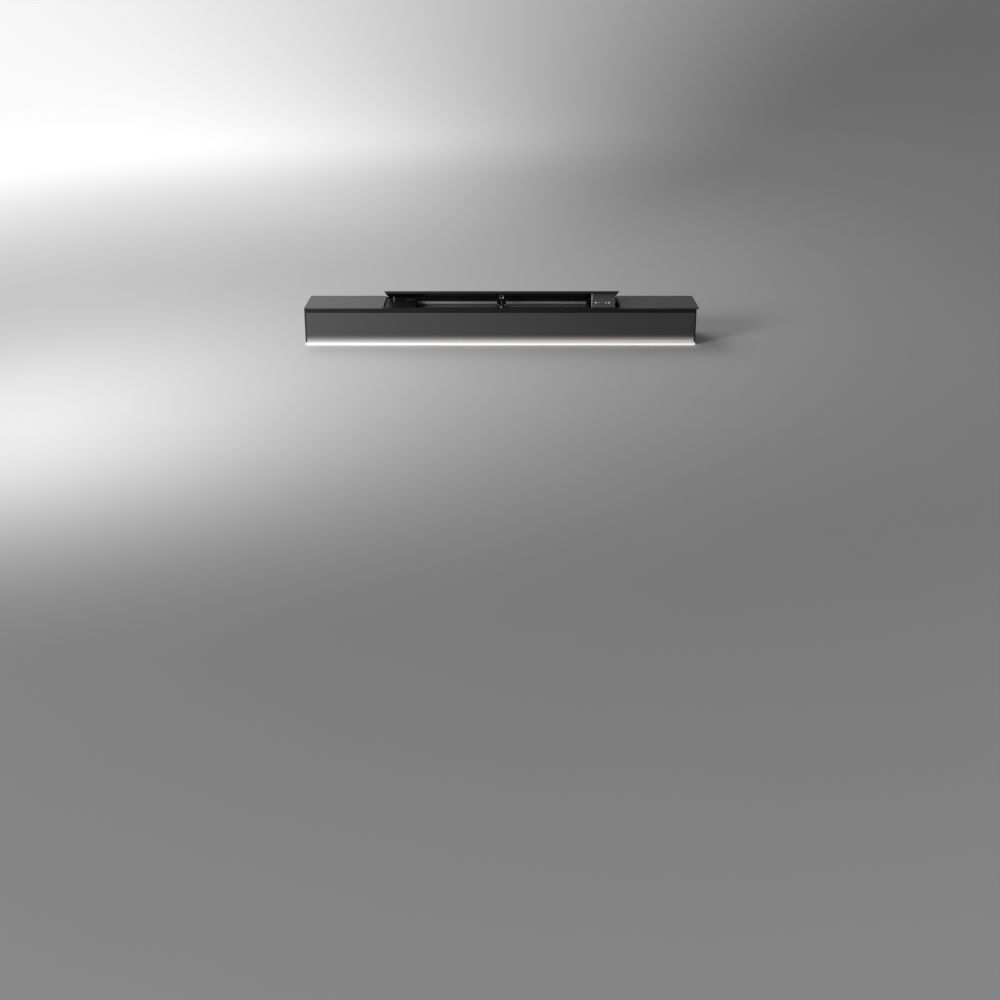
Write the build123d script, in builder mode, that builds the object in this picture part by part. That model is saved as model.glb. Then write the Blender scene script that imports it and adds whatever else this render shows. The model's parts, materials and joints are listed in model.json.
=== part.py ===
"""Worktop downdraft vent with a hinged glass lid, two side blowers and a light strip.

The vent stands on the worktop behind the hob. X runs along its length, to the right as seen
from the front, -Y is the front and +Z is up. The origin is the centre of the footprint on the
worktop. Everything is drawn with the lid open, which is the rest position.
"""
from build123d import *
from math import acos, cos, degrees, hypot, radians, sin, tan
import os

# ---------------------------------------------------------------- driving dimensions (mm)
# Outer body
overall_length = 1500.0
overall_depth = 174.0
overall_height = 146.0
right_overhang = 9.0            # the right top plate reaches past the right end panel
corner_cut = 5.0                # small cut corner at each rear end
glass_thickness = 4.0
end_panel_thickness = 6.0
sheet = 1.5                     # folded steel sheet
base_thickness = 2.0
flange_width = 12.0             # folded edges that carry the top plates
pane_gap = 0.5                  # free gap round glass and loose panels

# Light strip along the foot of the front
light_height = 10.0
light_profile_depth = 13.0
light_wall = 1.5
led_board_thickness = 1.6
led_board_height = 6.0

# Front rim above the front glass
rim_height = 15.0
rim_depth = 9.0
rim_setback = 1.0
rim_wall = 2.0

# Lid and its hinges
side_plate_length = 299.0       # each top plate; the lid opening takes what is between them
lid_open_angle = 22.5
lid_side_gap = 5.0
lid_front_gap = 2.0
hinge_inset = 5.0               # hinge axis ahead of the back of the body
hinge_drop = 8.5                # hinge axis below the top of the lid glass
lid_rear_reach = 1.5            # glass behind the hinge axis
lid_pan_thickness = 2.0
lid_pan_inset = 4.0
lid_skirt_height = 3.0
lid_skirt_width = 3.0
knuckle_radius = 3.5
hinge_pin_radius = 2.0
hinge_length = 40.0
knuckle_length = 13.0
leaf_length = 22.0
leaf_thickness = 1.5
hinge_end_inset = 32.0          # outer hinges inside the ends of the filter zone
hinge_count = 4
running_gap = 0.05              # radial gap of a pin or shaft that turns
side_gap = 0.5                  # gap beside a part that turns

# Filter deck, filters and the pieces beside them
deck_height = 100.0             # top of the deck
module_length = 119.0           # from each end of the filter zone to the end of the opening
filter_thickness = 12.0
filter_front_gap = 4.0
filter_rear_gap = 11.5
filter_border = 9.0
filter_slot_width = 5.0
filter_slot_pitch = 9.0
filter_slot_columns = 3
filter_slot_rib = 6.0
filter_ledge = 6.0              # width of deck under each filter edge
trim_height = 26.0
trim_thickness = 3.0
trim_foot = 4.0
handle_length = 34.0
handle_width = 12.0
handle_height = 5.0
handle_wire = 2.5
bridge_width = 34.0
bridge_height = 17.0
cover_drop = 6.0                # tops of the covers below the glass
cover_rear_gap = 1.5
tray_floor_gap = 1.9            # pod tray floor below the shut pod
tray_arm_gap = 2.0              # pod tray ahead of the arm's reach
tray_flange = 2.0

# Control pod under the lid
pod_end_gap = 17.0              # pod to the end of the opening
pod_width = 89.0
pod_setback = 27.0              # housing behind the front rim
pod_swing_gap = 32.0            # housing ahead of the back of its tray
pod_bottom_drop = 8.0           # bottom of the pod below the tops of the covers
pod_wall = 2.0
pod_glass_thickness = 2.0
pod_board_gap = 3.0

# Lid lift
arm_inset = 31.0                # arm to the end of the opening
arm_pivot_back = 22.0           # arm pivot ahead of the hinge axis
arm_length = 30.0
arm_thickness = 5.0
arm_hub_radius = 7.0
arm_tip_radius = 4.0
arm_contact_gap = 0.3
lift_shaft_radius = 3.0
lift_shaft_engagement = 12.0
lift_motor_ground = 10.0        # free height under the lift motors
lift_motor_length = 64.0
gearbox_length = 14.0
arm_slot_gap = 2.0

# Lid damper at the centre
damper_pivot_back = 52.0        # lower pivot ahead of the hinge axis
damper_pivot_drop = 42.0        # lower pivot below the deck
damper_lid_distance = 70.0      # upper pivot ahead of the hinge axis, along the lid
damper_lid_drop = 8.0           # upper pivot below the hinge axis, across the lid
damper_pin_radius = 3.0
damper_eye_gap = 0.95           # radial play at the upper pivot
damper_eye_radius = 6.5
damper_radius = 7.0
damper_cylinder_length = 60.0
damper_rod_radius = 3.0
damper_rod_length = 62.0
damper_bottom_wall = 10.0
damper_slot_gap = 2.0
damper_cheek = 2.0

# Side bays with the blowers
divider_gap = 2.0
divider_window_width = 110.0
divider_window_low = 16.0
divider_window_high = 92.0
blower_front_gap = 14.5
blower_rear_gap = 8.0
outlet_neck = 10.0              # scroll to the discharge box
scroll_step = 6.0
blower_wall = 1.5
blower_height = 70.0
tongue_rise = 8.0
inlet_step = 12.0               # inlet smaller than the impeller, all round
inlet_plate_thickness = 2.0
inlet_lip = 2.5
impeller_gap = 6.0
blade_depth = 9.0
blade_thickness = 1.2
blade_count = 32
blade_angle = 35.0
impeller_bottom_gap = 5.5
impeller_top_gap = 4.0
impeller_disc = 2.0
cup_height = 46.0
blower_motor_radius = 24.0
blower_motor_height = 46.0
blower_motor_gap = 2.0
blower_shaft_radius = 3.0
motor_flange_radius = 36.0
blower_screw_circle = 30.0
blower_screw_count = 4
screw_radius = 2.0
screw_head_radius = 3.5
screw_head_height = 2.0

# Discharge boxes and their duct collars
box_end_gap = 2.0
box_length = 133.0
box_front_gap = 4.0
box_height = 76.0
duct_wall = 1.5
duct_gap = 3.0                  # collar to the nearest walls of its box
duct_rear_gap = 14.5
collar_height = 14.0
window_border = 3.0
flap_thickness = 1.2
flap_gap = 0.5
flap_rod_radius = 1.5
ear_size = 7.0
ear_thickness = 2.0

# Worktop fixing and cable entry
fixing_end_inset = 12.0         # screws inside the ends of the filter zone
fixing_spacing_y = 100.0
fixing_hole_radius = 2.5
cable_radius = 4.2
grommet_inset = 21.0            # grommet to the divider
grommet_back = 10.0             # grommet behind the light profile
grommet_radius = 7.0
grommet_flange = 3.0
grommet_height = 10.0

# Electric parts and drip tray
drip_end_gap = 32.0
drip_front_gap = 5.0
drip_rear_gap = 20.5
drip_height = 12.0
drip_wall = 1.0
supply_length = 90.0
supply_width = 80.0
supply_height = 32.0
board_length = 105.0
board_width = 95.0
board_thickness = 1.6
board_standoff = 6.0
board_part_height = 14.0
terminal_length = 32.0
terminal_depth = 16.0
terminal_height = 20.0
terminal_drop = 4.0             # below the top of the filter deck
terminal_shift = 3.0

# ---------------------------------------------------------------- places worked out from them
front_y = -overall_depth / 2
rear_y = overall_depth / 2
top_z = overall_height
body_left_x = -overall_length / 2
body_right_x = overall_length / 2 - right_overhang
inner_left_x = body_left_x + end_panel_thickness
inner_right_x = body_right_x - end_panel_thickness
under_glass_z = top_z - glass_thickness
glass_back_y = front_y + glass_thickness
wall_back_y = glass_back_y + sheet
profile_back_y = glass_back_y + light_profile_depth
rear_inner_y = rear_y - sheet
rim_bottom_z = under_glass_z - rim_height
front_glass_bottom_z = light_height + pane_gap
opening_end_x = overall_length / 2 - side_plate_length
divider_x = opening_end_x + divider_gap
deck_bottom_z = deck_height - sheet
cover_top_z = under_glass_z - cover_drop
well_end_x = opening_end_x - module_length
filter_front_y = profile_back_y + filter_front_gap
filter_rear_y = rear_inner_y - filter_rear_gap

hinge_y = rear_y - hinge_inset
hinge_z = top_z - hinge_drop
tilt = radians(lid_open_angle)
lid_plane = Plane(origin=(0, hinge_y, hinge_z), x_dir=(1, 0, 0), z_dir=(0, sin(tilt), cos(tilt)))
lid_glass_low = hinge_drop - glass_thickness
lid_pan_low = lid_glass_low - lid_pan_thickness
rim_lip_back_y = front_y + rim_setback + rim_depth
lid_front_v = rim_lip_back_y + lid_front_gap - hinge_y
lid_end_x = opening_end_x - lid_side_gap
pan_front_v = lid_front_v + lid_pan_inset
pan_rear_v = -knuckle_radius - side_gap
pan_end_x = lid_end_x - lid_pan_inset
hinge_spacing = 2 * (well_end_x - hinge_end_inset) / (hinge_count - 1)
hinge_places = [(i - (hinge_count - 1) / 2) * hinge_spacing for i in range(hinge_count)]


def lid_point(along, across):
    """Place of a point of the open lid in the side view, from its distances to the hinge axis."""
    y = hinge_y + along * cos(tilt) + across * sin(tilt)
    z = hinge_z - along * sin(tilt) + across * cos(tilt)
    return y, z


def lid_underside(y):
    """Height of the underside of the open lid above a point at depth y."""
    return hinge_z + lid_pan_low / cos(tilt) + (hinge_y - y) * tan(tilt)


def block(x_range, y_range, z_range, mode=Mode.ADD):
    """A box between a low and a high limit along each axis."""
    limits = (x_range, y_range, z_range)
    centre = tuple((low + high) / 2 for low, high in limits)
    size = [high - low for low, high in limits]
    with Locations(centre):
        Box(*size, mode=mode)


def rod_along_x(radius, x_range, y, z, mode=Mode.ADD):
    """A round bar or bore along X."""
    with Locations(((x_range[0] + x_range[1]) / 2, y, z)):
        Cylinder(radius, x_range[1] - x_range[0], rotation=(0, 90, 0), mode=mode)


def rod_along_y(radius, x, y_range, z, mode=Mode.ADD):
    """A round bar or bore along Y."""
    with Locations((x, (y_range[0] + y_range[1]) / 2, z)):
        Cylinder(radius, y_range[1] - y_range[0], rotation=(90, 0, 0), mode=mode)


def rod_along_z(radius, x, y, z_range, mode=Mode.ADD):
    """A round bar or bore along Z."""
    with Locations((x, y, (z_range[0] + z_range[1]) / 2)):
        Cylinder(radius, z_range[1] - z_range[0], mode=mode)


# Places of the pieces inside, from the front, the back and the ends of the body
lift_motor_radius = (cover_top_z - sheet - pane_gap - deck_height - lift_motor_ground) / 2
arm_x = opening_end_x - arm_inset
arm_pivot_y = hinge_y - arm_pivot_back
arm_pivot_z = cover_top_z - sheet - pane_gap - lift_motor_radius
arm_reach_y = arm_pivot_y - arm_length - arm_tip_radius - arm_slot_gap
tray_rear_y = arm_reach_y - tray_arm_gap
pod_left_x = opening_end_x - pod_end_gap - pod_width
pod_front_y = rim_lip_back_y + pod_setback
pod_rear_y = tray_rear_y - pod_swing_gap
pod_bottom_z = cover_top_z - pod_bottom_drop
pod_ahead = hinge_y - pod_front_y + pod_glass_thickness
pod_shut_low_z = hinge_z - pod_ahead * sin(tilt) - (hinge_z - pod_bottom_z) * cos(tilt)
tray_floor_z = pod_shut_low_z - tray_floor_gap - sheet

damper_pivot_y = hinge_y - damper_pivot_back
damper_pivot_z = deck_height - damper_pivot_drop

scroll_depth = rear_inner_y - profile_back_y - blower_front_gap - blower_rear_gap
scroll_radius = (scroll_depth - 2 * blower_wall - 3 * scroll_step) / 2
impeller_radius = scroll_radius - impeller_gap
inlet_radius = impeller_radius - inlet_step
box_outer_x = inner_right_x - box_end_gap
outlet_x = box_outer_x - box_length
blower_x = outlet_x - outlet_neck - scroll_radius
blower_y = profile_back_y + blower_front_gap + blower_wall + scroll_radius
tongue_y = blower_y + tongue_rise
scroll_top_y = blower_y + scroll_radius + 3 * scroll_step
box_front_y = profile_back_y + box_front_gap
box_depth = scroll_top_y + blower_wall - box_front_y
duct_radius = (box_depth - 2 * blower_wall - 2 * duct_wall - duct_gap - duct_rear_gap) / 2
duct_x = box_outer_x - blower_wall - duct_gap - duct_wall - duct_radius
duct_y = box_front_y + blower_wall + duct_gap + duct_wall + duct_radius

fixing_spacing_x = 2 * (well_end_x - fixing_end_inset)
grommet_x = divider_x + grommet_inset
grommet_y = profile_back_y + grommet_back

# ---------------------------------------------------------------- outer body
with BuildPart() as base_plate:
    block((inner_left_x, inner_right_x), (profile_back_y, rear_inner_y), (0, base_thickness))
    for side in (-1, 1):
        rod_along_z(duct_radius + duct_wall, side * duct_x, duct_y, (0, base_thickness), Mode.SUBTRACT)
        with Locations((side * blower_x, blower_y, base_thickness)):
            with PolarLocations(blower_screw_circle, blower_screw_count, start_angle=45):
                Hole(screw_radius)
    with Locations((0, 0, base_thickness)):
        with GridLocations(fixing_spacing_x, fixing_spacing_y, 2, 2):
            Hole(fixing_hole_radius)
    with Locations((grommet_x, grommet_y, base_thickness)):
        Hole(grommet_radius)

with BuildPart() as rear_panel:
    block((inner_left_x, inner_right_x), (rear_inner_y, rear_y), (0, under_glass_z))
    for low_x, high_x in ((inner_left_x, -divider_x - sheet), (divider_x + sheet, inner_right_x)):
        block((low_x, high_x), (rear_inner_y - flange_width, rear_inner_y),
              (under_glass_z - sheet, under_glass_z))
    rear_lip_z = lid_point(lid_rear_reach, lid_glass_low)[1] - side_gap
    block((-opening_end_x, opening_end_x), (rear_inner_y, rear_y), (rear_lip_z, under_glass_z), Mode.SUBTRACT)
    notch_half = knuckle_length / 2 + side_gap
    for hinge_x in hinge_places:
        block((hinge_x - notch_half, hinge_x + notch_half), (rear_inner_y, rear_y),
              (hinge_z - knuckle_radius - side_gap, rear_lip_z), Mode.SUBTRACT)

with BuildPart() as front_carrier:
    block((inner_left_x, inner_right_x), (glass_back_y, wall_back_y), (light_height, rim_bottom_z))
    for low_z in (light_height, rim_bottom_z - sheet):
        block((inner_left_x, inner_right_x), (wall_back_y, profile_back_y), (low_z, low_z + sheet))

with BuildPart() as front_glass:
    block((inner_left_x + pane_gap, inner_right_x - pane_gap), (front_y, glass_back_y),
          (front_glass_bottom_z, rim_bottom_z - pane_gap))
    chamfer(front_glass.edges().filter_by(Axis.X).group_by(Axis.Y)[0], length=pane_gap)

with BuildPart() as front_rim:
    with BuildSketch(Plane.YZ.offset(inner_left_x)):
        with Locations((front_y + rim_setback + rim_depth / 2, rim_bottom_z + rim_height / 2)):
            Rectangle(rim_depth, rim_height)
        with Locations((front_y + rim_setback + rim_wall, rim_bottom_z + rim_height / 2)):
            Rectangle(rim_depth, rim_height - 2 * rim_wall, align=(Align.MIN, Align.CENTER),
                      mode=Mode.SUBTRACT)
    extrude(amount=inner_right_x - inner_left_x)
    block((pane_gap - opening_end_x, opening_end_x - pane_gap), (front_y + rim_setback, rim_lip_back_y),
          (under_glass_z, top_z))

with BuildPart() as end_panel_left:
    block((body_left_x, inner_left_x), (front_y, rear_y), (0, under_glass_z))
    rear_edges = end_panel_left.edges().filter_by(Axis.Z).group_by(Axis.Y)[-1]
    chamfer(rear_edges.sort_by(Axis.X)[0], length=corner_cut)
    block((body_left_x, inner_left_x), (front_y, glass_back_y), (0, front_glass_bottom_z), Mode.SUBTRACT)

with BuildPart() as end_panel_right:
    block((inner_right_x, body_right_x), (front_y, rear_y), (0, under_glass_z))
    rear_edges = end_panel_right.edges().filter_by(Axis.Z).group_by(Axis.Y)[-1]
    chamfer(rear_edges.sort_by(Axis.X)[-1], length=corner_cut)
    block((inner_right_x, body_right_x), (front_y, glass_back_y), (0, front_glass_bottom_z), Mode.SUBTRACT)

with BuildPart() as top_plate_left:
    block((-overall_length / 2, -opening_end_x), (front_y, rear_y), (under_glass_z, top_z))
    rear_edges = top_plate_left.edges().filter_by(Axis.Z).group_by(Axis.Y)[-1]
    chamfer(rear_edges.sort_by(Axis.X)[0], length=corner_cut)

with BuildPart() as top_plate_right:
    block((opening_end_x, overall_length / 2), (front_y, rear_y), (under_glass_z, top_z))
    rear_edges = top_plate_right.edges().filter_by(Axis.Z).group_by(Axis.Y)[-1]
    chamfer(rear_edges.sort_by(Axis.X)[-1], length=corner_cut)

with BuildPart() as bay_divider_right:
    block((divider_x, divider_x + sheet), (profile_back_y, rear_inner_y), (base_thickness, under_glass_z))
    block((divider_x + sheet, divider_x + sheet + flange_width),
          (profile_back_y, rear_inner_y - flange_width), (under_glass_z - sheet, under_glass_z))
    block((divider_x, divider_x + sheet), (-divider_window_width / 2, divider_window_width / 2),
          (divider_window_low, divider_window_high), Mode.SUBTRACT)

with BuildPart() as bay_divider_left:
    mirror(bay_divider_right.part, about=Plane.YZ)

# ---------------------------------------------------------------- light strip
with BuildPart() as light_profile:
    block((inner_left_x, inner_right_x), (glass_back_y, profile_back_y), (0, light_height))
    block((inner_left_x, inner_right_x), (glass_back_y, profile_back_y - light_wall),
          (light_wall, light_height - light_wall), Mode.SUBTRACT)

with BuildPart() as light_diffuser:
    block((body_left_x, body_right_x), (front_y, glass_back_y), (0, light_height))
    fillet(light_diffuser.edges().filter_by(Axis.X).group_by(Axis.Y)[0], radius=pane_gap)

with BuildPart() as led_board:
    block((inner_left_x + pane_gap, inner_right_x - pane_gap),
          (profile_back_y - light_wall - led_board_thickness, profile_back_y - light_wall),
          ((light_height - led_board_height) / 2, (light_height + led_board_height) / 2))

# ---------------------------------------------------------------- filter deck and filters
filter_top_z = deck_height + filter_thickness
filter_inner_x = bridge_width / 2 + pane_gap
filter_outer_x = well_end_x - pane_gap
tray_left_x = well_end_x + pane_gap + tray_flange
tray_right_x = divider_x - pane_gap - tray_flange
tray_front_y = profile_back_y + tray_flange
damper_slot = (-damper_radius - damper_slot_gap, damper_radius + damper_slot_gap)
damper_slot_y = (damper_pivot_y - 3 * damper_radius, damper_pivot_y + damper_radius)

with BuildPart() as filter_deck:
    block((-divider_x, divider_x), (wall_back_y, rear_inner_y), (deck_bottom_z, deck_height))
    for side in (-1, 1):
        x_limits = sorted((side * (filter_inner_x + filter_ledge), side * (filter_outer_x - filter_ledge)))
        block(x_limits, (filter_front_y + filter_ledge, filter_rear_y - filter_ledge),
              (deck_bottom_z, deck_height), Mode.SUBTRACT)
    block((tray_left_x - pane_gap, tray_right_x + pane_gap),
          (tray_front_y - pane_gap, tray_rear_y + pane_gap), (deck_bottom_z, deck_height), Mode.SUBTRACT)
    block(damper_slot, damper_slot_y, (deck_bottom_z, deck_height), Mode.SUBTRACT)

with BuildPart() as grease_filter_right:
    block((filter_inner_x, filter_outer_x), (filter_front_y, filter_rear_y), (deck_height, filter_top_z))
    slot_area_x = filter_outer_x - filter_inner_x - 2 * filter_border
    slot_area_y = filter_rear_y - filter_front_y - 2 * filter_border
    slot_length = (slot_area_x - (filter_slot_columns - 1) * filter_slot_rib) / filter_slot_columns
    slot_rows = int((slot_area_y + filter_slot_pitch - filter_slot_width) // filter_slot_pitch)
    slot_centre = ((filter_inner_x + filter_outer_x) / 2, (filter_front_y + filter_rear_y) / 2)
    with BuildSketch(Plane.XY.offset(filter_top_z)):
        with Locations(slot_centre):
            with GridLocations(slot_length + filter_slot_rib, filter_slot_pitch,
                               filter_slot_columns, slot_rows):
                Rectangle(slot_length, filter_slot_width)
    extrude(amount=-filter_thickness, mode=Mode.SUBTRACT)

with BuildPart() as grease_filter_left:
    mirror(grease_filter_right.part, about=Plane.YZ)

with BuildPart() as filter_handles:
    handle_x = (filter_inner_x + filter_border / 2, filter_inner_x + filter_border / 2 + handle_width)
    handle_y = (-handle_length / 2, handle_length / 2)
    block(handle_x, handle_y, (filter_top_z, filter_top_z + handle_height))
    handle_gap_y = (handle_y[0] + handle_wire, handle_y[1] - handle_wire)
    block(handle_x, handle_gap_y, (filter_top_z, filter_top_z + handle_height - handle_wire), Mode.SUBTRACT)
    block((handle_x[0] + handle_wire, handle_x[1] - handle_wire), handle_gap_y,
          (filter_top_z, filter_top_z + handle_height), Mode.SUBTRACT)
    mirror(about=Plane.YZ)

with BuildPart() as filter_trims:
    trim_front_y = filter_rear_y + pane_gap
    for low_x, high_x in ((-filter_outer_x, -filter_inner_x), (filter_inner_x, filter_outer_x)):
        block((low_x, high_x), (trim_front_y, trim_front_y + trim_thickness),
              (deck_height, deck_height + trim_height))
        block((low_x, high_x), (trim_front_y + trim_thickness, trim_front_y + trim_thickness + trim_foot),
              (deck_height, deck_height + sheet))

with BuildPart() as centre_bridge:
    bridge_x = (-bridge_width / 2, bridge_width / 2)
    bridge_y = (profile_back_y + pane_gap, trim_front_y + trim_thickness)
    block(bridge_x, bridge_y, (deck_height, deck_height + bridge_height))
    block((bridge_x[0] + sheet, bridge_x[1] - sheet), (bridge_y[0] + sheet, bridge_y[1] - sheet),
          (deck_height, deck_height + bridge_height - sheet), Mode.SUBTRACT)
    block(damper_slot, damper_slot_y, (deck_height, deck_height + bridge_height), Mode.SUBTRACT)

with BuildPart() as drip_tray:
    block((drip_end_gap - well_end_x, well_end_x - drip_end_gap),
          (profile_back_y + drip_front_gap, rear_inner_y - drip_rear_gap),
          (base_thickness, base_thickness + drip_height))
    offset(amount=-drip_wall, openings=drip_tray.faces().sort_by(Axis.Z)[-1])

# ---------------------------------------------------------------- covers beside the filters
arm_slot_x = (arm_x - arm_thickness / 2 - arm_slot_gap, arm_x + arm_thickness / 2 + arm_slot_gap)
arm_slot_y = (arm_reach_y, arm_pivot_y)
cover_rear_y = rear_inner_y - cover_rear_gap

with BuildPart() as module_cover_left:
    cover_x = (-divider_x + pane_gap, -well_end_x)
    block(cover_x, (profile_back_y, cover_rear_y), (deck_height, cover_top_z))
    block((cover_x[0] + sheet, cover_x[1] - sheet), (profile_back_y + sheet, cover_rear_y),
          (deck_height, cover_top_z - sheet), Mode.SUBTRACT)
    block((-arm_slot_x[1], -arm_slot_x[0]), arm_slot_y, (deck_height, cover_top_z), Mode.SUBTRACT)

with BuildPart() as pod_tray:
    block((tray_left_x, tray_right_x), (tray_front_y, tray_rear_y), (tray_floor_z, deck_height))
    block((tray_left_x - tray_flange, tray_right_x + tray_flange),
          (tray_front_y - tray_flange, tray_rear_y + tray_flange), (deck_height, deck_height + sheet))
    block((tray_left_x, tray_right_x), (tray_front_y, tray_rear_y), (deck_height, cover_top_z))
    block((tray_left_x + sheet, tray_right_x - sheet), (tray_front_y + sheet, tray_rear_y - sheet),
          (tray_floor_z + sheet, cover_top_z), Mode.SUBTRACT)

with BuildPart() as module_cover_right:
    rear_cover_x = (tray_left_x - tray_flange, tray_right_x + tray_flange)
    rear_cover_front_y = tray_rear_y + tray_flange + pane_gap
    block(rear_cover_x, (rear_cover_front_y, cover_rear_y), (deck_height, cover_top_z))
    block((rear_cover_x[0] + sheet, rear_cover_x[1] - sheet), (rear_cover_front_y + sheet, cover_rear_y),
          (deck_height, cover_top_z - sheet), Mode.SUBTRACT)
    block(arm_slot_x, arm_slot_y, (deck_height, cover_top_z), Mode.SUBTRACT)

# ---------------------------------------------------------------- lid
with BuildPart(lid_plane) as lid_glass:
    block((-lid_end_x, lid_end_x), (lid_front_v, lid_rear_reach), (lid_glass_low, hinge_drop))
    chamfer(lid_glass.edges().filter_by(Axis.X).sort_by(Axis.Z)[-1], length=pane_gap)

with BuildPart(lid_plane) as lid_frame:
    block((-pan_end_x, pan_end_x), (pan_front_v, pan_rear_v), (lid_pan_low - lid_skirt_height, lid_glass_low))
    block((lid_skirt_width - pan_end_x, pan_end_x - lid_skirt_width),
          (pan_front_v + lid_skirt_width, pan_rear_v), (lid_pan_low - lid_skirt_height, lid_pan_low),
          Mode.SUBTRACT)

with BuildPart() as hinge_fixed_leaves:
    for hinge_x in hinge_places:
        leaf_x = (hinge_x - hinge_length / 2, hinge_x + hinge_length / 2)
        block(leaf_x, (rear_inner_y - leaf_thickness, rear_inner_y),
              (hinge_z - leaf_length, hinge_z - knuckle_radius - side_gap))
        for side in (-1, 1):
            inner_x = hinge_x + side * (knuckle_length / 2 + side_gap)
            outer_x = hinge_x + side * hinge_length / 2
            knuckle_x = sorted((inner_x, outer_x))
            rod_along_x(knuckle_radius, knuckle_x, hinge_y, hinge_z)
            block(knuckle_x, (rear_inner_y - leaf_thickness, rear_inner_y),
                  (hinge_z - knuckle_radius - side_gap, hinge_z))
        rod_along_x(hinge_pin_radius, leaf_x, hinge_y, hinge_z, Mode.SUBTRACT)

with BuildPart() as hinge_pins:
    for hinge_x in hinge_places:
        pin_x = (hinge_x - hinge_length / 2, hinge_x + hinge_length / 2)
        rod_along_x(hinge_pin_radius, pin_x, hinge_y, hinge_z)

with BuildPart(lid_plane) as hinge_moving_leaves:
    for hinge_x in hinge_places:
        knuckle_x = (hinge_x - knuckle_length / 2, hinge_x + knuckle_length / 2)
        rod_along_x(knuckle_radius, knuckle_x, 0, 0)
        block(knuckle_x, (pan_rear_v - side_gap, 0), (lid_pan_low - leaf_thickness, lid_pan_low))
        leaf_x = (hinge_x - hinge_length / 2, hinge_x + hinge_length / 2)
        block(leaf_x, (pan_rear_v - leaf_length, pan_rear_v - side_gap),
              (lid_pan_low - leaf_thickness, lid_pan_low))
        rod_along_x(hinge_pin_radius + running_gap, knuckle_x, 0, 0, Mode.SUBTRACT)

# ---------------------------------------------------------------- control pod, fixed under the lid
pod_x = (pod_left_x, pod_left_x + pod_width)


def pod_outline(front_y_limit, rear_y_limit, bottom_z, top_gap):
    """Side outline of the pod between two depths, cut along the underside of the lid."""
    corners = [
        (front_y_limit, bottom_z),
        (rear_y_limit, bottom_z),
        (rear_y_limit, lid_underside(rear_y_limit) - top_gap),
        (front_y_limit, lid_underside(front_y_limit) - top_gap),
    ]
    with BuildSketch() as outline:
        with BuildLine():
            Polyline(*corners, close=True)
        make_face()
    return outline.sketch


with BuildPart() as pod_housing:
    with BuildSketch(Plane.YZ.offset(pod_x[0])):
        add(pod_outline(pod_front_y, pod_rear_y, pod_bottom_z, 0))
    extrude(amount=pod_width)
    with BuildSketch(Plane.YZ.offset(pod_x[0] + pod_wall)):
        add(pod_outline(pod_front_y, pod_rear_y - pod_wall, pod_bottom_z + pod_wall, pod_wall))
    extrude(amount=pod_width - 2 * pod_wall, mode=Mode.SUBTRACT)

with BuildPart() as pod_glass:
    with BuildSketch(Plane.YZ.offset(pod_x[0])):
        add(pod_outline(pod_front_y - pod_glass_thickness, pod_front_y, pod_bottom_z, 0))
    extrude(amount=pod_width)

with BuildPart() as pod_board:
    board_y = pod_front_y + pod_board_gap
    board_top_z = lid_underside(board_y + board_thickness) - 2 * pod_wall
    block((pod_x[0] + 2 * pod_wall, pod_x[1] - 2 * pod_wall), (board_y, board_y + board_thickness),
          (pod_bottom_z + pod_wall, board_top_z))

# ---------------------------------------------------------------- lid lift
# The shoe of each arm touches the underside of the lid: its centre lies one shoe radius and
# the contact gap below it. This fixes the arm's angle from the horizontal.
shoe_drop = lid_pan_low - arm_tip_radius - arm_contact_gap
pivot_back = hinge_y - arm_pivot_y
pivot_down = hinge_z - arm_pivot_z
arm_reach = (shoe_drop + pivot_back * sin(tilt) + pivot_down * cos(tilt)) / arm_length
arm_angle = 90 + lid_open_angle - degrees(acos(arm_reach))
arm_tip_y = arm_pivot_y - arm_length * cos(radians(arm_angle))
arm_tip_z = arm_pivot_z + arm_length * sin(radians(arm_angle))
bracket_x = arm_slot_x[0] - arm_slot_gap - sheet
gearbox_x = (bracket_x - gearbox_length, bracket_x)

with BuildPart() as lift_motor_right:
    rod_along_x(lift_motor_radius, (bracket_x - lift_motor_length, gearbox_x[0]), arm_pivot_y, arm_pivot_z)
    block(gearbox_x, (arm_pivot_y - lift_motor_radius, arm_pivot_y + lift_motor_radius),
          (arm_pivot_z - lift_motor_radius, arm_pivot_z + lift_motor_radius))
    rod_along_x(lift_shaft_radius + running_gap, (bracket_x - lift_shaft_engagement, bracket_x),
                arm_pivot_y, arm_pivot_z, Mode.SUBTRACT)

with BuildPart() as lift_motor_left:
    mirror(lift_motor_right.part, about=Plane.YZ)

with BuildPart() as lift_brackets:
    block((bracket_x, bracket_x + sheet), (arm_pivot_y - lift_motor_radius, rear_inner_y),
          (deck_height, arm_pivot_z + lift_motor_radius))
    block((bracket_x - flange_width, bracket_x), (arm_pivot_y - lift_motor_radius, rear_inner_y),
          (deck_height, deck_height + sheet))
    rod_along_x(lift_shaft_radius + side_gap, (bracket_x, bracket_x + sheet), arm_pivot_y, arm_pivot_z,
                Mode.SUBTRACT)
    mirror(about=Plane.YZ)

with BuildPart() as lift_arm_right:
    with BuildSketch(Plane.YZ.offset(arm_x - arm_thickness / 2)):
        with BuildLine():
            Line((arm_pivot_y, arm_pivot_z), (arm_tip_y, arm_tip_z))
            offset(amount=arm_tip_radius, side=Side.BOTH)
        make_face()
        with Locations((arm_pivot_y, arm_pivot_z)):
            Circle(arm_hub_radius)
    extrude(amount=arm_thickness)
    rod_along_x(lift_shaft_radius, (bracket_x - lift_shaft_engagement + side_gap, arm_x + arm_thickness),
                arm_pivot_y, arm_pivot_z)

with BuildPart() as lift_arm_left:
    mirror(lift_arm_right.part, about=Plane.YZ)

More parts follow.
